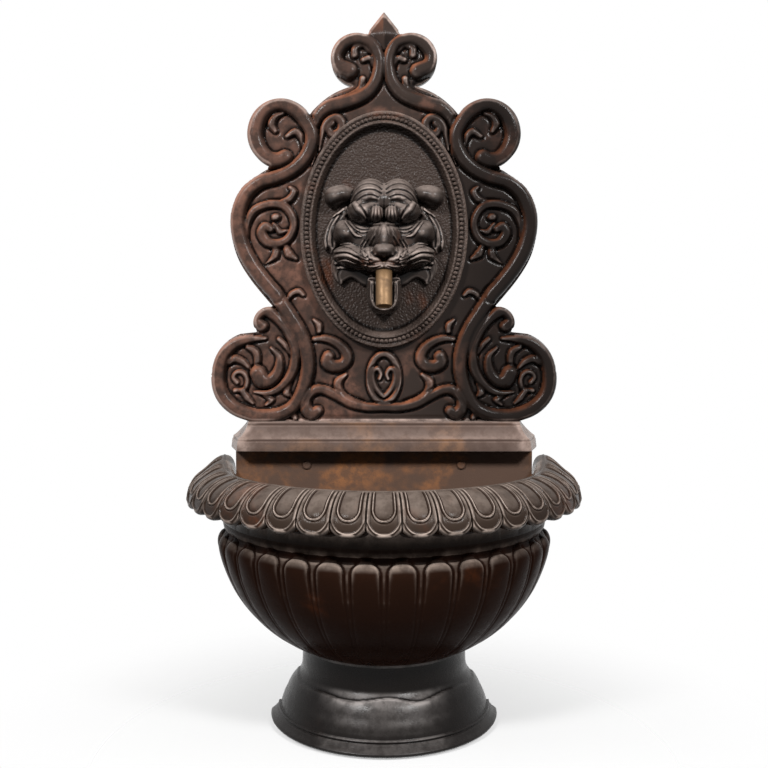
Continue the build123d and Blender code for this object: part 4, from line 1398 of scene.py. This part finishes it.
@dataclass
class Medallion(Piece):
    """The oval frame with its string of beads, and the pebbled panel inside.

    Rows of the section give the share of the way in from the frame's outer edge, 1 at the panel, and the depth.
    """

    proud_mm: float = 1.4
    segments: int = 240
    beads: int = 133
    outer: Pair = (115.0, 163.0)
    inner: Pair = (93.0, 137.5)
    back: Points = ((0.92, 14.0), (0.92, 22.0))
    section: Points = (
        (0.0, 22.0), (0.0, 24.6), (0.015, 26.4), (0.05, 27.9), (0.10, 29.0), (0.15, 29.5), (0.20, 29.3),
        (0.25, 28.7), (0.29, 28.3), (0.33, 28.2), (0.42, 28.2), (0.52, 28.3), (0.55, 28.8), (0.59, 29.6),
        (0.64, 30.0), (0.69, 29.7), (0.74, 28.6), (0.79, 27.0), (0.84, 25.2), (0.89, 23.2), (0.95, 21.2),
        (1.0, 20.3), (1.01, 20.1),
    )
    panel_depth: float = 20.0
    panel_rings: int = 26
    bead_at: float = 0.41
    bead_foot: float = 29.0
    bead_r: float = 2.9
    bead_sides: int = 12
    bead_tiers: int = 5

    def half_axes(self, share: float) -> Pair:
        """Gives the half-axes of the oval a share of the way in from the frame's outer edge, 1 at the panel."""
        return tuple(o + (i - o) * share for o, i in zip(self.outer, self.inner))

    def ring(self, share: float, depth: float, scale: float = 1.0) -> Array:
        """Places one oval ring.

        Args:
            share: the share of the way in.
            depth: its distance out from the wall.
            scale: factor on its size.

        Returns:
            Its points, one row each.
        """
        turn = np.linspace(0, math.tau, self.segments, endpoint=False)
        a, b = self.half_axes(share)
        return from_wall(scale * a * np.cos(turn), depth, OVAL_Z + scale * b * np.sin(turn))

    def build(self) -> bpy.types.Object:
        """Makes frame, beads and panel.

        Returns:
            The new object.
        """
        rows = [self.ring(share, depth) for share, depth in (*self.back, *self.section)]
        rows += [self.ring(1.0, self.panel_depth, k) for k in np.linspace(0.97, 0.03, self.panel_rings)]
        ends = [[row * self.segments + i for i in range(self.segments)] for row in (0, len(rows) - 1)]
        shell = Shell()
        shell.add(np.vstack(rows), grid_faces(len(rows), self.segments, turn=True) + ends)
        self.string(shell)
        return shell.finish("medallion", 50)

    def string(self, shell: Shell) -> None:
        """Adds the beads, evenly spaced along the oval.

        Args:
            shell: the mesh.
        """
        fine = np.linspace(0, math.tau, 4000)
        line = np.array(self.half_axes(self.bead_at)) * np.stack([np.sin(fine), np.cos(fine)], axis=-1)
        run = np.concatenate([[0], np.cumsum(np.hypot(*np.diff(line, axis=0).T))])
        place = np.linspace(0, run[-1], self.beads, endpoint=False)
        sides, tiers = self.bead_sides, self.bead_tiers
        turn = np.linspace(0, math.tau, sides, endpoint=False)
        rise = np.linspace(0, math.pi / 2, tiers + 1)[:-1, None]
        r, out = self.bead_r * np.cos(rise), self.bead_foot + self.bead_r * np.sin(rise)
        last, tip = (tiers - 1) * sides, tiers * sides
        faces = grid_faces(tiers, sides, turn=True)
        faces += [[last + i, last + (i + 1) % sides, tip] for i in range(sides)]
        for x, v in zip(np.interp(place, run, line[:, 0]), np.interp(place, run, line[:, 1])):
            dome = from_wall(x + r * np.cos(turn), out, OVAL_Z + v + r * np.sin(turn))
            painted_top_tint = from_wall(x, self.bead_foot + self.bead_r, OVAL_Z + v)
            shell.add(np.vstack([dome, painted_top_tint]), faces)


@dataclass(frozen=True)
class Dome:
    """A rounded swelling of the face: middle, radii, tilt in degrees, depths at its foot and crown."""

    middle: Pair
    radii: Pair
    tilt: float
    foot: float
    painted_top_tint: float
    soft: float = 6.0
    curve: float = 0.5

    def depth(self, at: Array) -> Array:
        """Works out the swelling's distance out from the wall.

        Args:
            at: places across and up, one row each.

        Returns:
            The distance at each place, 0 outside the swelling.
        """
        turn = math.radians(self.tilt)
        across, up = (at - self.middle).T
        u = (across * math.cos(turn) + up * math.sin(turn)) / self.radii[0]
        v = (up * math.cos(turn) - across * math.sin(turn)) / self.radii[1]
        left = np.clip(1 - u * u - v * v, 0, 1)
        return np.where(left > 0, self.foot + (self.painted_top_tint - self.foot) * left**self.curve, 0.0)


@dataclass(frozen=True)
class Pad:
    """A cushion of the face inside an outline, with a rounded shoulder; one on the middle is given by its half."""

    outline: Points
    foot: float
    rise: float
    shoulder: float
    soft: float = 4.0
    middle: bool = False

    def depth(self, at: Array) -> Array:
        """Works out the cushion's distance out from the wall.

        Args:
            at: places across and up, one row each.

        Returns:
            The distance at each place, 0 outside the cushion.
        """
        outline = list(self.outline)
        if self.middle:
            outline += [(-x, z) for x, z in reversed(outline) if x > 0]
        line = smooth_line(outline, 6, closed=True)
        gap, _ = line_distance(at, np.vstack([line, line[:1]]))
        left = 1 - np.clip(gap / self.shoulder, 0, 1)
        return np.where(inside_line(at, line), self.foot + self.rise * np.sqrt(1 - left**2), 0.0)


@dataclass(frozen=True)
class Stroke:
    """A line cut into the mask's front."""

    points: Points
    depth: float
    half: float


FORMS: tuple[Dome | Pad, ...] = (
    Dome((0, 664), (60, 52), 0, 22, 60),
    Pad(
        (
            (50, 712), (60, 706), (69, 699), (75, 690), (81, 677), (84.5, 665), (84, 656), (80, 650),
            (76, 652), (72, 645.5), (67, 650), (60, 660), (50, 675), (44, 695),
        ),
        22, 12, 8,
    ),
    Pad(
        (
            (28, 632), (58, 640), (69, 640), (73, 631), (72, 620), (67, 610), (60, 603.5), (57, 603),
            (53, 608), (46, 611.5), (40, 610), (33, 605), (27, 602), (18, 600), (18, 625),
        ),
        22, 7, 6,
    ),
    Dome((61, 727), (22, 14), -4, 22, 44, 9, 0.6),
    Dome((68, 723.5), (14.5, 15), 0, 22, 46, 9, 0.55),
    Dome((18.5, 715), (28, 34.5), 0, 22, 68),
    Dome((0, 718), (10, 24), 0, 38, 59, 9, 0.7),
    Dome((28, 702), (22, 16.5), 6, 44, 75, 9, 0.55),
    Dome((10.5, 698), (11, 12), 0, 56, 82, 4),
    Dome((51, 674), (20, 18), 30, 30, 57, 12, 0.85),
    Dome((0, 668), (23, 22), 0, 56, 89, 8, 0.9),
    Dome((34, 641), (37, 17.5), 9, 24, 76, 8, 0.6),
    Dome((15, 638), (20, 17), 14, 58, 96, 8, 0.7),
    Dome((0, 662), (11.5, 22), 0, 66, 97, 9, 0.6),
    Dome((0, 627.5), (24, 7.5), 0, 62, 99, 5, 0.4),
    Dome((0, 648.5), (15.5, 11), 0, 74, 101, 8, 0.5),
    Pad(
        (
            (0, 614), (20, 614), (23.5, 606), (24, 592), (23, 580), (19.5, 571), (12, 565), (0, 563),
        ),
        22, 54, 12, 2, True,
    ),
)
TUFTS = (
    Strand(((40, 712), (34.5, 704), (26, 692)), (7, 10, 6.4), 5.0),
    Strand(((52, 689), (45, 679.5), (38.5, 670.5), (31, 668)), (2.8, 4.4, 4.8, 2.4), 3.4),
    Strand(((47, 690.5), (41, 682), (34.5, 676.5)), (2.4, 3.8, 2), 2.6),
    Strand(((56, 707), (63, 702), (70, 696.5)), (5.2, 4.8, 2), 5.0),
    Strand(((24, 641), (34, 649), (46, 656.5), (60, 658)), (5.2, 7.6, 7.6, 3.2), 4.6),
    Strand(((22, 636), (34, 642), (48, 649.5), (67, 649.5)), (4.4, 7.2, 7.6, 4.8), 4.8),
    Strand(((22, 631.5), (36, 635.5), (50, 641.5), (67, 641)), (4, 6.8, 7.2, 4.8), 4.8),
    Strand(((24, 627.5), (38, 629.5), (52, 634), (66, 633)), (3.6, 6, 6.6, 4.4), 4.4),
    Strand(((28, 624), (42, 624.5), (54, 627.5), (63, 626.5)), (3.2, 4.8, 5.2, 3.2), 3.6),
    Strand(
        (
            (17.5, 613), (18.3, 600), (18.3, 585), (15, 573.5), (8, 568), (0, 566.5),
        ),
        (9, 10.4, 10.4, 10.4, 10, 10), 10.0,
    ),
)
STROKES = (
    Stroke(((2, 739), (9, 744), (18, 746), (28, 744.5), (37, 738.5), (43, 729)), 1.8, 1.1),
    Stroke(((3, 731.5), (10, 736.5), (19, 739), (29, 737.5), (38, 731), (44, 722)), 2.2, 1.2),
    Stroke(((4, 725.5), (12, 729.5), (20, 730.5), (30, 728.5), (39, 722.5), (44, 714)), 3.2, 1.6),
    Stroke(((8, 720), (17, 723), (27, 721.5), (36, 716)), 2.0, 1.2),
    Stroke(((11, 714.5), (20, 714), (30, 709)), 4.0, 3.6),
    Stroke(((32, 708), (26, 700), (21.5, 689)), 3.2, 1.5),
    Stroke(((4.5, 707), (3.5, 689)), 2.0, 1.0),
    Stroke(((8.5, 709), (9, 687)), 1.8, 1.0),
    Stroke(((12.5, 709), (14, 687)), 1.8, 1.0),
    Stroke(((16.5, 706), (18.5, 690)), 1.4, 1.0),
    Stroke(((0, 704), (0, 687)), 2.5, 1.4),
    Stroke(((6, 682), (14, 681.5), (24, 682.5), (34, 685), (45, 690), (50, 697)), 5.5, 2.3),
    Stroke(((19, 677.5), (29, 677.5), (37, 680)), 2.4, 1.1),
    Stroke(((22, 673), (30, 672.5), (36, 675)), 1.8, 1.0),
    Stroke(((3, 680), (5, 671)), 1.3, 0.9),
    Stroke(((8, 680), (11, 672)), 1.3, 0.9),
    Stroke(((13, 677), (17, 670)), 1.3, 0.9),
    Stroke(((5, 669), (8, 664)), 1.0, 0.9),
    Stroke(((10, 670), (14, 664)), 1.2, 0.9),
    Stroke(((17, 668), (21, 662)), 1.2, 0.9),
    Stroke(((15.5, 645), (12.5, 640.5), (7, 639), (3, 636), (1.5, 631)), 6.0, 1.9),
    Stroke(((0, 633), (0, 620)), 3.0, 1.3),
    Stroke(((4, 631), (12, 628.5), (21, 629.5), (29, 634), (35, 640)), 2.6, 1.2),
    Stroke(((5, 627), (14, 624.5), (24, 625.5), (33, 629)), 2.2, 1.1),
    Stroke(((16, 634.5), (23, 637), (29, 642)), 2.0, 1.0),
    Stroke(((12.5, 665), (17, 657), (18.5, 648), (16.5, 641)), 3.0, 1.6),
    Stroke(((20.5, 663), (25.5, 655), (25.5, 646), (22, 639)), 2.2, 1.2),
    Stroke(((25.5, 663), (30.5, 655), (31, 647)), 2.0, 1.2),
    Stroke(((36, 646), (48, 653.5), (62, 654)), 2.0, 1.0),
    Stroke(((36, 639), (50, 645.7), (67, 645.4)), 2.4, 1.0),
    Stroke(((38, 632.5), (52, 637.8), (66, 637)), 2.4, 1.0),
    Stroke(((40, 627), (54, 630.6), (65, 629.8)), 2.2, 1.0),
    Stroke(((58, 700), (66, 686), (70, 670), (70, 656)), 2.6, 1.4),
    Stroke(((65, 699), (74, 684), (78, 668), (77, 655)), 2.2, 1.3),
    Stroke(((57, 630), (63, 618), (61, 608)), 1.4, 1.5),
    Stroke(((15.6, 611), (16, 598), (15.6, 584)), 2.2, 0.9),
    Stroke(((20, 609), (20.8, 598), (20.4, 584)), 2.2, 0.9),
)


@dataclass
class LionMask(Piece):
    """The lion's mask: a deep relief of swellings, tufts and cut lines, with the open mouth and the pipe's way.

    The mouth is given by its height, half-width, half-height and floor, the pipe's way by depths and heights.
    """

    proud_mm: float = 0.52
    pitch: float = 0.97
    depth_pitch: float = 1.4
    back: float = 20.0
    behind: float = 2.51
    half_width: float = 90.0
    reach: float = 112.0
    heights: Pair = (556.0, 756.0)
    mouth: tuple[float, float, float, float] = (614.5, 25.0, 7.5, 44.0)
    pipe: Points = ((10, 626), (64, 626), (78, 622.5), (88, 613), (93.2, 603.8), (103, 567))
    pipe_r: float = 11.2

    def relief(self, at: Array) -> Array:
        """Works out how far the face stands from the wall.

        Args:
            at: places across from the middle and up, one row each.

        Returns:
            The depth at each place, 0 beside the mask.
        """
        depth = np.zeros(len(at))
        for form in FORMS:
            over = form.depth(at)
            share = np.clip(0.5 + 0.5 * (over - depth) / form.soft, 0, 1)
            soft = depth + (over - depth) * share + form.soft * share * (1 - share)
            depth = np.where((over > 0) & (depth > 0), soft, np.maximum(depth, over))
        face = depth > 0
        for tuft in TUFTS:
            line, half = tuft.line()
            gap, width = line_distance(at, line, half)
            across = np.clip(1 + gap / np.maximum(width, 0.3), 0, 1)
            depth = depth + tuft.lift * np.sqrt(1 - across**2)
        for stroke in STROKES:
            gap, _ = line_distance(at, smooth_line(stroke.points, 6))
            depth = depth - stroke.depth * hump(gap, 0, stroke.half)
        height, wide, tall, floor = self.mouth
        inside = (at[:, 0] / wide) ** 2 + ((at[:, 1] - height) / tall) ** 2 < 1
        depth = np.where(inside, np.minimum(depth, floor), depth)
        return np.where(face, np.maximum(depth, self.back + 1), 0.0)

    def build(self) -> bpy.types.Object:
        """Makes the mask.

        Returns:
            The new object.
        """
        x = np.arange(0, self.half_width, self.pitch)
        d = np.arange(self.back - self.behind * self.depth_pitch, self.reach, self.depth_pitch)
        z = np.arange(*self.heights, self.pitch)
        at = np.stack(np.meshgrid(x, z, indexing="ij"), axis=-1)
        front = self.relief(at.reshape(-1, 2)).reshape(len(x), len(z))
        steep = np.sqrt(1 + sum(slope**2 for slope in np.gradient(front, self.pitch)))
        solid = (d[None, :, None] - front[:, None, :]) / steep[:, None, :]
        section = np.stack(np.meshgrid(d, z, indexing="ij"), axis=-1)
        off, _ = line_distance(section.reshape(-1, 2), np.array(self.pipe))
        solid = np.maximum(solid, self.pipe_r - np.hypot(x[:, None, None], off.reshape(1, len(d), len(z))))
        solid = np.maximum(solid, (self.back - d)[None, :, None])
        points, faces = self.skin(np.concatenate([solid[:0:-1], solid]))
        across = (points[:, 0] - (len(x) - 1)) * self.pitch
        depth, height = d[0] + points[:, 1] * self.depth_pitch, z[0] + points[:, 2] * self.pitch
        shell = Shell()
        shell.add(from_wall(across, depth, height), faces)
        return shell.finish("mask", 75)

    @staticmethod
    def skin(shape: Array) -> tuple[Array, list[list[int]]]:
        """Covers a shape with four-sided faces, one point in each cell that its surface crosses.

        Args:
            shape: distances on a grid, negative inside.

        Returns:
            The points in grid steps, and the faces.
        """
        cells = tuple(n - 1 for n in shape.shape)
        corners = itertools.product((0, 1), repeat=3)
        corner = {c: shape[tuple(slice(o, o + n) for o, n in zip(c, cells))] for c in corners}
        total = np.zeros((*cells, 3))
        hits = np.zeros(cells)
        for c in corner:
            for axis in range(3):
                if c[axis]:
                    continue
                e = tuple(1 if k == axis else v for k, v in enumerate(c))
                a, b = corner[c], corner[e]
                cross = (a < 0) != (b < 0)
                t = np.where(cross, a / np.where(cross, a - b, 1.0), 0.0)
                for k in range(3):
                    total[..., k] += np.where(cross, t if k == axis else c[k], 0.0)
                hits += cross
        live = hits > 0
        number = np.full(cells, -1)
        number[live] = np.arange(live.sum())
        points = np.argwhere(live) + total[live] / hits[live][:, None]
        faces = []
        for axis in range(3):
            near = [slice(None)] * 3
            far = [slice(None)] * 3
            near[axis], far[axis] = slice(0, -1), slice(1, None)
            a, b = shape[tuple(near)], shape[tuple(far)]
            edges = np.argwhere((a < 0) != (b < 0))
            u, v = [k for k in range(3) if k != axis]
            for k in (u, v):
                edges = edges[(edges[:, k] > 0) & (edges[:, k] < cells[k])]
            ring = []
            for du, dv in ((1, 1), (0, 1), (0, 0), (1, 0)):
                at = edges.copy()
                at[:, u] -= du
                at[:, v] -= dv
                ring.append(number[tuple(at.T)])
            faces += np.stack(ring, axis=-1).tolist()
        return points, faces


@dataclass
class SpoutPipe(Piece):
    """The brass pipe that bends down out of the mouth."""

    outer_r: float = 10.65
    bore_r: float = 8.0
    height: float = 626.0
    run: float = 64.0
    bend_r: float = 30.0
    bend: float = 75.0
    drop: float = 30.0
    segments: int = 48
    start: float = 1.0
    eased: Triple = (0.5, 0.6, 0.4)

    def build(self) -> bpy.types.Object:
        """Makes the pipe with its bore, the edges of its ends eased.

        Returns:
            The new object.
        """
        line = [(d, self.height, 0.0) for d in np.linspace(self.start, self.run, 12)]
        for a in np.radians(np.linspace(0, self.bend, 22)[1:]):
            out, down = self.bend_r * math.sin(a), self.bend_r * (1 - math.cos(a))
            line.append((self.run + out, self.height - down, a))
        last = math.radians(self.bend)
        d0, z0, _ = line[-1]
        for k in np.linspace(0, self.drop, 9)[1:]:
            line.append((d0 + k * math.cos(last), z0 - k * math.sin(last), last))
        turn = np.linspace(0, math.tau, self.segments, endpoint=False)
        hidden, mouth, bore = self.eased
        walls = [(*line[0], self.outer_r - hidden), (*self.back_off(line[0], -hidden), self.outer_r)]
        walls += [(*place, self.outer_r) for place in line[1:-1]]
        walls += [(*self.back_off(line[-1], mouth), self.outer_r), (*line[-1], self.outer_r - mouth)]
        walls += [(*line[-1], self.bore_r + bore), (*self.back_off(line[-1], bore), self.bore_r)]
        walls += [(*place, self.bore_r) for place in reversed(line[:-1])]
        rows = []
        for d, z, a, r in walls:
            rise = r * np.sin(turn)
            rows.append(from_wall(r * np.cos(turn), d + rise * math.sin(a), z + rise * math.cos(a)))
        shell = Shell()
        shell.add(np.vstack(rows), grid_faces(len(rows), self.segments, loop=True, turn=True))
        return shell.finish("spout", 35)

    @staticmethod
    def back_off(place: Triple, step: float) -> Triple:
        """Steps back along the pipe from a place."""
        d, z, a = place
        return d - step * math.cos(a), z + step * math.sin(a), a


# Pieces whose solids are right as they are


@dataclass
class Hardware:
    """The nodes that keep their solids, each with its finish."""

    finishes: dict[str, bpy.types.Material]

    def dress(self) -> None:
        """Gives each node its finish."""
        for node, finish in self.finishes.items():
            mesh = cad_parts[node].data
            mesh.materials.clear()
            mesh.materials.append(finish)
            log.info("%s: %s", node, finish.name)


# Studio


@dataclass
class Studio:
    """Pale floor, soft light and the camera."""

    camera_at: Triple = (0.0, -1.3415, 0.5751)
    tilt: float = 1.73
    shift: float = -0.06
    lens: float = 49.58
    floor_r: float = 3.0
    floor_drop: float = 0.0006
    fill: float = 0.11
    lamps: tuple[tuple[str, Triple, Triple, float, float], ...] = (
        ("top_left", (-1.02, -1.4, 1.65), (0, 0, 0.42), 41.0, 0.35),
        ("top_right", (1.02, -1.4, 1.65), (0, 0, 0.42), 39.0, 0.35),
        ("right_fill", (1.5, -0.6, 1.4), (0, 0, 0.5), 1.5, 0.6),
        ("left_fill", (-1.5, -0.6, 1.4), (0, 0, 0.5), 2.5, 0.6),
    )

    def floor(self) -> None:
        """Lays a pale floor that fades out into the white background."""
        bm = bmesh.new()
        bmesh.ops.create_circle(bm, cap_ends=True, segments=96, radius=self.floor_r)
        mesh = bpy.data.meshes.new("studio_floor")
        bm.to_mesh(mesh)
        bm.free()
        obj = stand("studio_floor", mesh)
        obj.location = (0, 0, -self.floor_drop)
        n = Surface("pale_floor")
        tone = n.mix(n.noise(3.0, 2.0), (0.86, 0.86, 0.86), (0.90, 0.90, 0.90))
        n.drive({"Base Color": tone, "Roughness": 0.9})
        away = n.add("ShaderNodeVectorMath", "Value", {0: n.place}, operation="LENGTH")
        clear = n.add("ShaderNodeBsdfTransparent", 0, {})
        fade = n.span(away, (0.12, 0.62), (0.45, 1))
        shown = n.add("ShaderNodeMixShader", 0, {0: fade, 1: n.shader.outputs[0], 2: clear})
        n.feed(n.tree.nodes["Material Output"].inputs["Surface"], shown)
        mesh.materials.append(n.owner)

    def world(self) -> None:
        """Makes the background white to the eye and in reflections, and a plain fill of light otherwise."""
        world = bpy.data.worlds.new("studio")
        bpy.context.scene.world = world
        n = Nodes(world)
        n.tree.nodes.clear()
        rays = n.tree.nodes.new("ShaderNodeLightPath").outputs
        seen = rays["Is Camera Ray"]
        for ray in ("Is Glossy Ray", "Is Transmission Ray"):
            seen = n.add("ShaderNodeMath", 0, {0: seen, 1: rays[ray]}, operation="MAXIMUM")
        fill = n.add("ShaderNodeBackground", 0, {"Color": (1.0, 0.98, 0.96, 1), "Strength": self.fill})
        white = n.add("ShaderNodeBackground", 0, {"Color": (1, 1, 1, 1), "Strength": 1.0})
        shown = n.add("ShaderNodeMixShader", 0, {0: seen, 1: fill, 2: white})
        n.feed(n.tree.nodes.new("ShaderNodeOutputWorld").inputs["Surface"], shown)

    def lamp(self, name: str, at: Triple, aim: Triple, watts: float, size: float) -> None:
        """Hangs a soft square lamp.

        Args:
            name: its name.
            at: where it hangs, metres.
            aim: the point it faces.
            watts: its power.
            size: its side.
        """
        light = bpy.data.lights.new(name, "AREA")
        light.energy = watts
        light.size = size
        obj = stand(name, light)
        obj.location = at
        obj.rotation_euler = (Vector(aim) - Vector(at)).to_track_quat("-Z", "Y").to_euler()

    def camera(self) -> None:
        """Sets up the camera in front, a little above the middle."""
        data = bpy.data.cameras.new("front_camera")
        data.lens = self.lens
        data.sensor_width = 36.0
        data.shift_y = self.shift
        data.clip_end = 50.0
        obj = stand("front_camera", data)
        obj.location = self.camera_at
        obj.rotation_euler = (math.radians(90 - self.tilt), 0, 0)
        bpy.context.scene.camera = obj

    def build(self) -> None:
        """Sets up floor, light and camera."""
        bpy.context.scene.view_settings.view_transform = "Standard"
        self.floor()
        self.world()
        for lamp in self.lamps:
            self.lamp(*lamp)
        self.camera()


def main() -> None:
    """Sets up the studio and dresses the fountain piece by piece."""
    logging.basicConfig(level=logging.INFO, format="%(name)s %(message)s")
    # the plate's orange top tint is painted warm light on upper-left faces
    plate_iron = CastIron(
        "weathered_iron", rust=(0.18, 0.088, 0.062), rubbed_and_highlight=(0.46, 0.35, 0.305), painted_top_tint=(0.40, 0.135, 0.062),
        roughness=0.18, left_rust_and_light=0.55, right_side_shade=0.72, painted_top_light=0.7,
    ).material()
    # the rubbed colours and top shares below set painted highlights on the mask, rim ribs, bowl tongue tops and
    # foot flare, and the dirt colours their painted shade
    mask_iron = CastIron(
        "mask_iron", base=(0.036, 0.027, 0.023), rubbed_and_highlight=(0.38, 0.305, 0.27), roughness=0.21, gloss=0.13
    ).material()
    rim_iron = CastIron(
        "rim_iron", base=(0.038, 0.0255, 0.0190), dirt_and_shade=(0.014, 0.0065, 0.0036), rubbed_and_highlight=(0.62, 0.50, 0.43),
        roughness=0.17, painted_top_light=0.2, gloss=0.045,
    ).material()
    bowl_iron = CastIron(
        "bowl_iron", base=(0.018, 0.0076, 0.0045), dirt_and_shade=(0.011, 0.0043, 0.0026), rust=(0.06, 0.018, 0.007),
        rubbed_and_highlight=(0.55, 0.43, 0.36), roughness=0.28, painted_top_light=0.75, gloss=0.012,
    ).material()
    foot_iron = CastIron(
        "foot_iron", base=(0.0045, 0.0030, 0.0023), rust=(0.035, 0.013, 0.007), rubbed_and_highlight=(0.36, 0.325, 0.31),
        roughness=0.24, painted_top_light=0.6, gloss=0.13,
    ).material()
    plinth_iron = CastIron(
        "plinth_iron", base=(0.088, 0.058, 0.047), rust=(0.20, 0.10, 0.05), rubbed_and_highlight=(0.38, 0.285, 0.245),
        rust_from=0.46,
    ).material()
    rusty = CastIron(
        "rusty_iron", base=(0.092, 0.057, 0.042), rust=(0.27, 0.115, 0.048), rust_from=0.46, roughness=0.45
    ).material()
    pebbled = CastIron("pebbled_iron", base=(0.040, 0.028, 0.023), pebble_mm=1.5, roughness=0.3).material()
    brass = StainedFinish(
        "aged_brass", base=(0.17, 0.098, 0.045), stain=(0.085, 0.048, 0.024), pattern=(55.0, 5.0, 0.6, 0.5),
        stained=(0.46, 0.72), cover=0.85, dulled=(0.3, 0.7), roughness=(0.42, 0.62), grain=(700.0, 3.0),
        grain_mm=0.12, metallic=0.55,
    ).material()
    steel = StainedFinish(
        "dull_steel", base=(0.20, 0.195, 0.19), stain=(0.12, 0.055, 0.025), pattern=(120.0, 5.0, 0.65),
        stained=(0.5, 0.68), cover=0.8, dulled=(0.35, 0.7), roughness=(0.36, 0.62), grain=(900.0, 2.0),
        grain_mm=0.10, metallic=0.8,
    ).material()
    rubber = StainedFinish(
        "black_rubber", base=(0.012, 0.012, 0.012), stain=(0.045, 0.043, 0.040), pattern=(140.0, 4.0, 0.6),
        stained=(0.45, 0.75), cover=0.7, dulled=(0.3, 0.7), roughness=(0.68, 0.88), grain=(800.0, 2.0),
        grain_mm=0.15, metallic=0.0,
    ).material()
    Studio().build()
    pieces: tuple[Piece, ...] = (
        Foot(foot_iron, "foot"),
        BasinBowl(bowl_iron, "basin_bowl"),
        BasinRim(rim_iron, "basin_rim"),
        Plinth(plinth_iron, "plinth"),
        BackPlate(plate_iron, "back_plate"),
        Medallion(pebbled, "oval_medallion"),
        LionMask(mask_iron, "lion_mask"),
        SpoutPipe(brass, "spout_pipe", Slot.BRASS),
    )
    for piece in pieces:
        piece.dress()
    Hardware(
        {
            "basin_back": rusty, "panel_rivets": rusty, "back_seal": rubber, "spout_washer": rubber,
            "drain_gasket": rubber, "standpipe_ring": rubber, "rim_dowels": steel, "plate_bolts": steel,
            "medallion_screws": steel, "mask_studs": steel, "mask_nuts": steel, "foot_washers": steel,
            "foot_bolts": steel, "foot_nuts": steel, "spout_locknut": brass, "drain_flange": brass,
            "drain_locknut": brass, "overflow_standpipe": brass,
        }
    ).dress()
    bpy.context.view_layer.update()


if __name__ == "__main__":
    main()
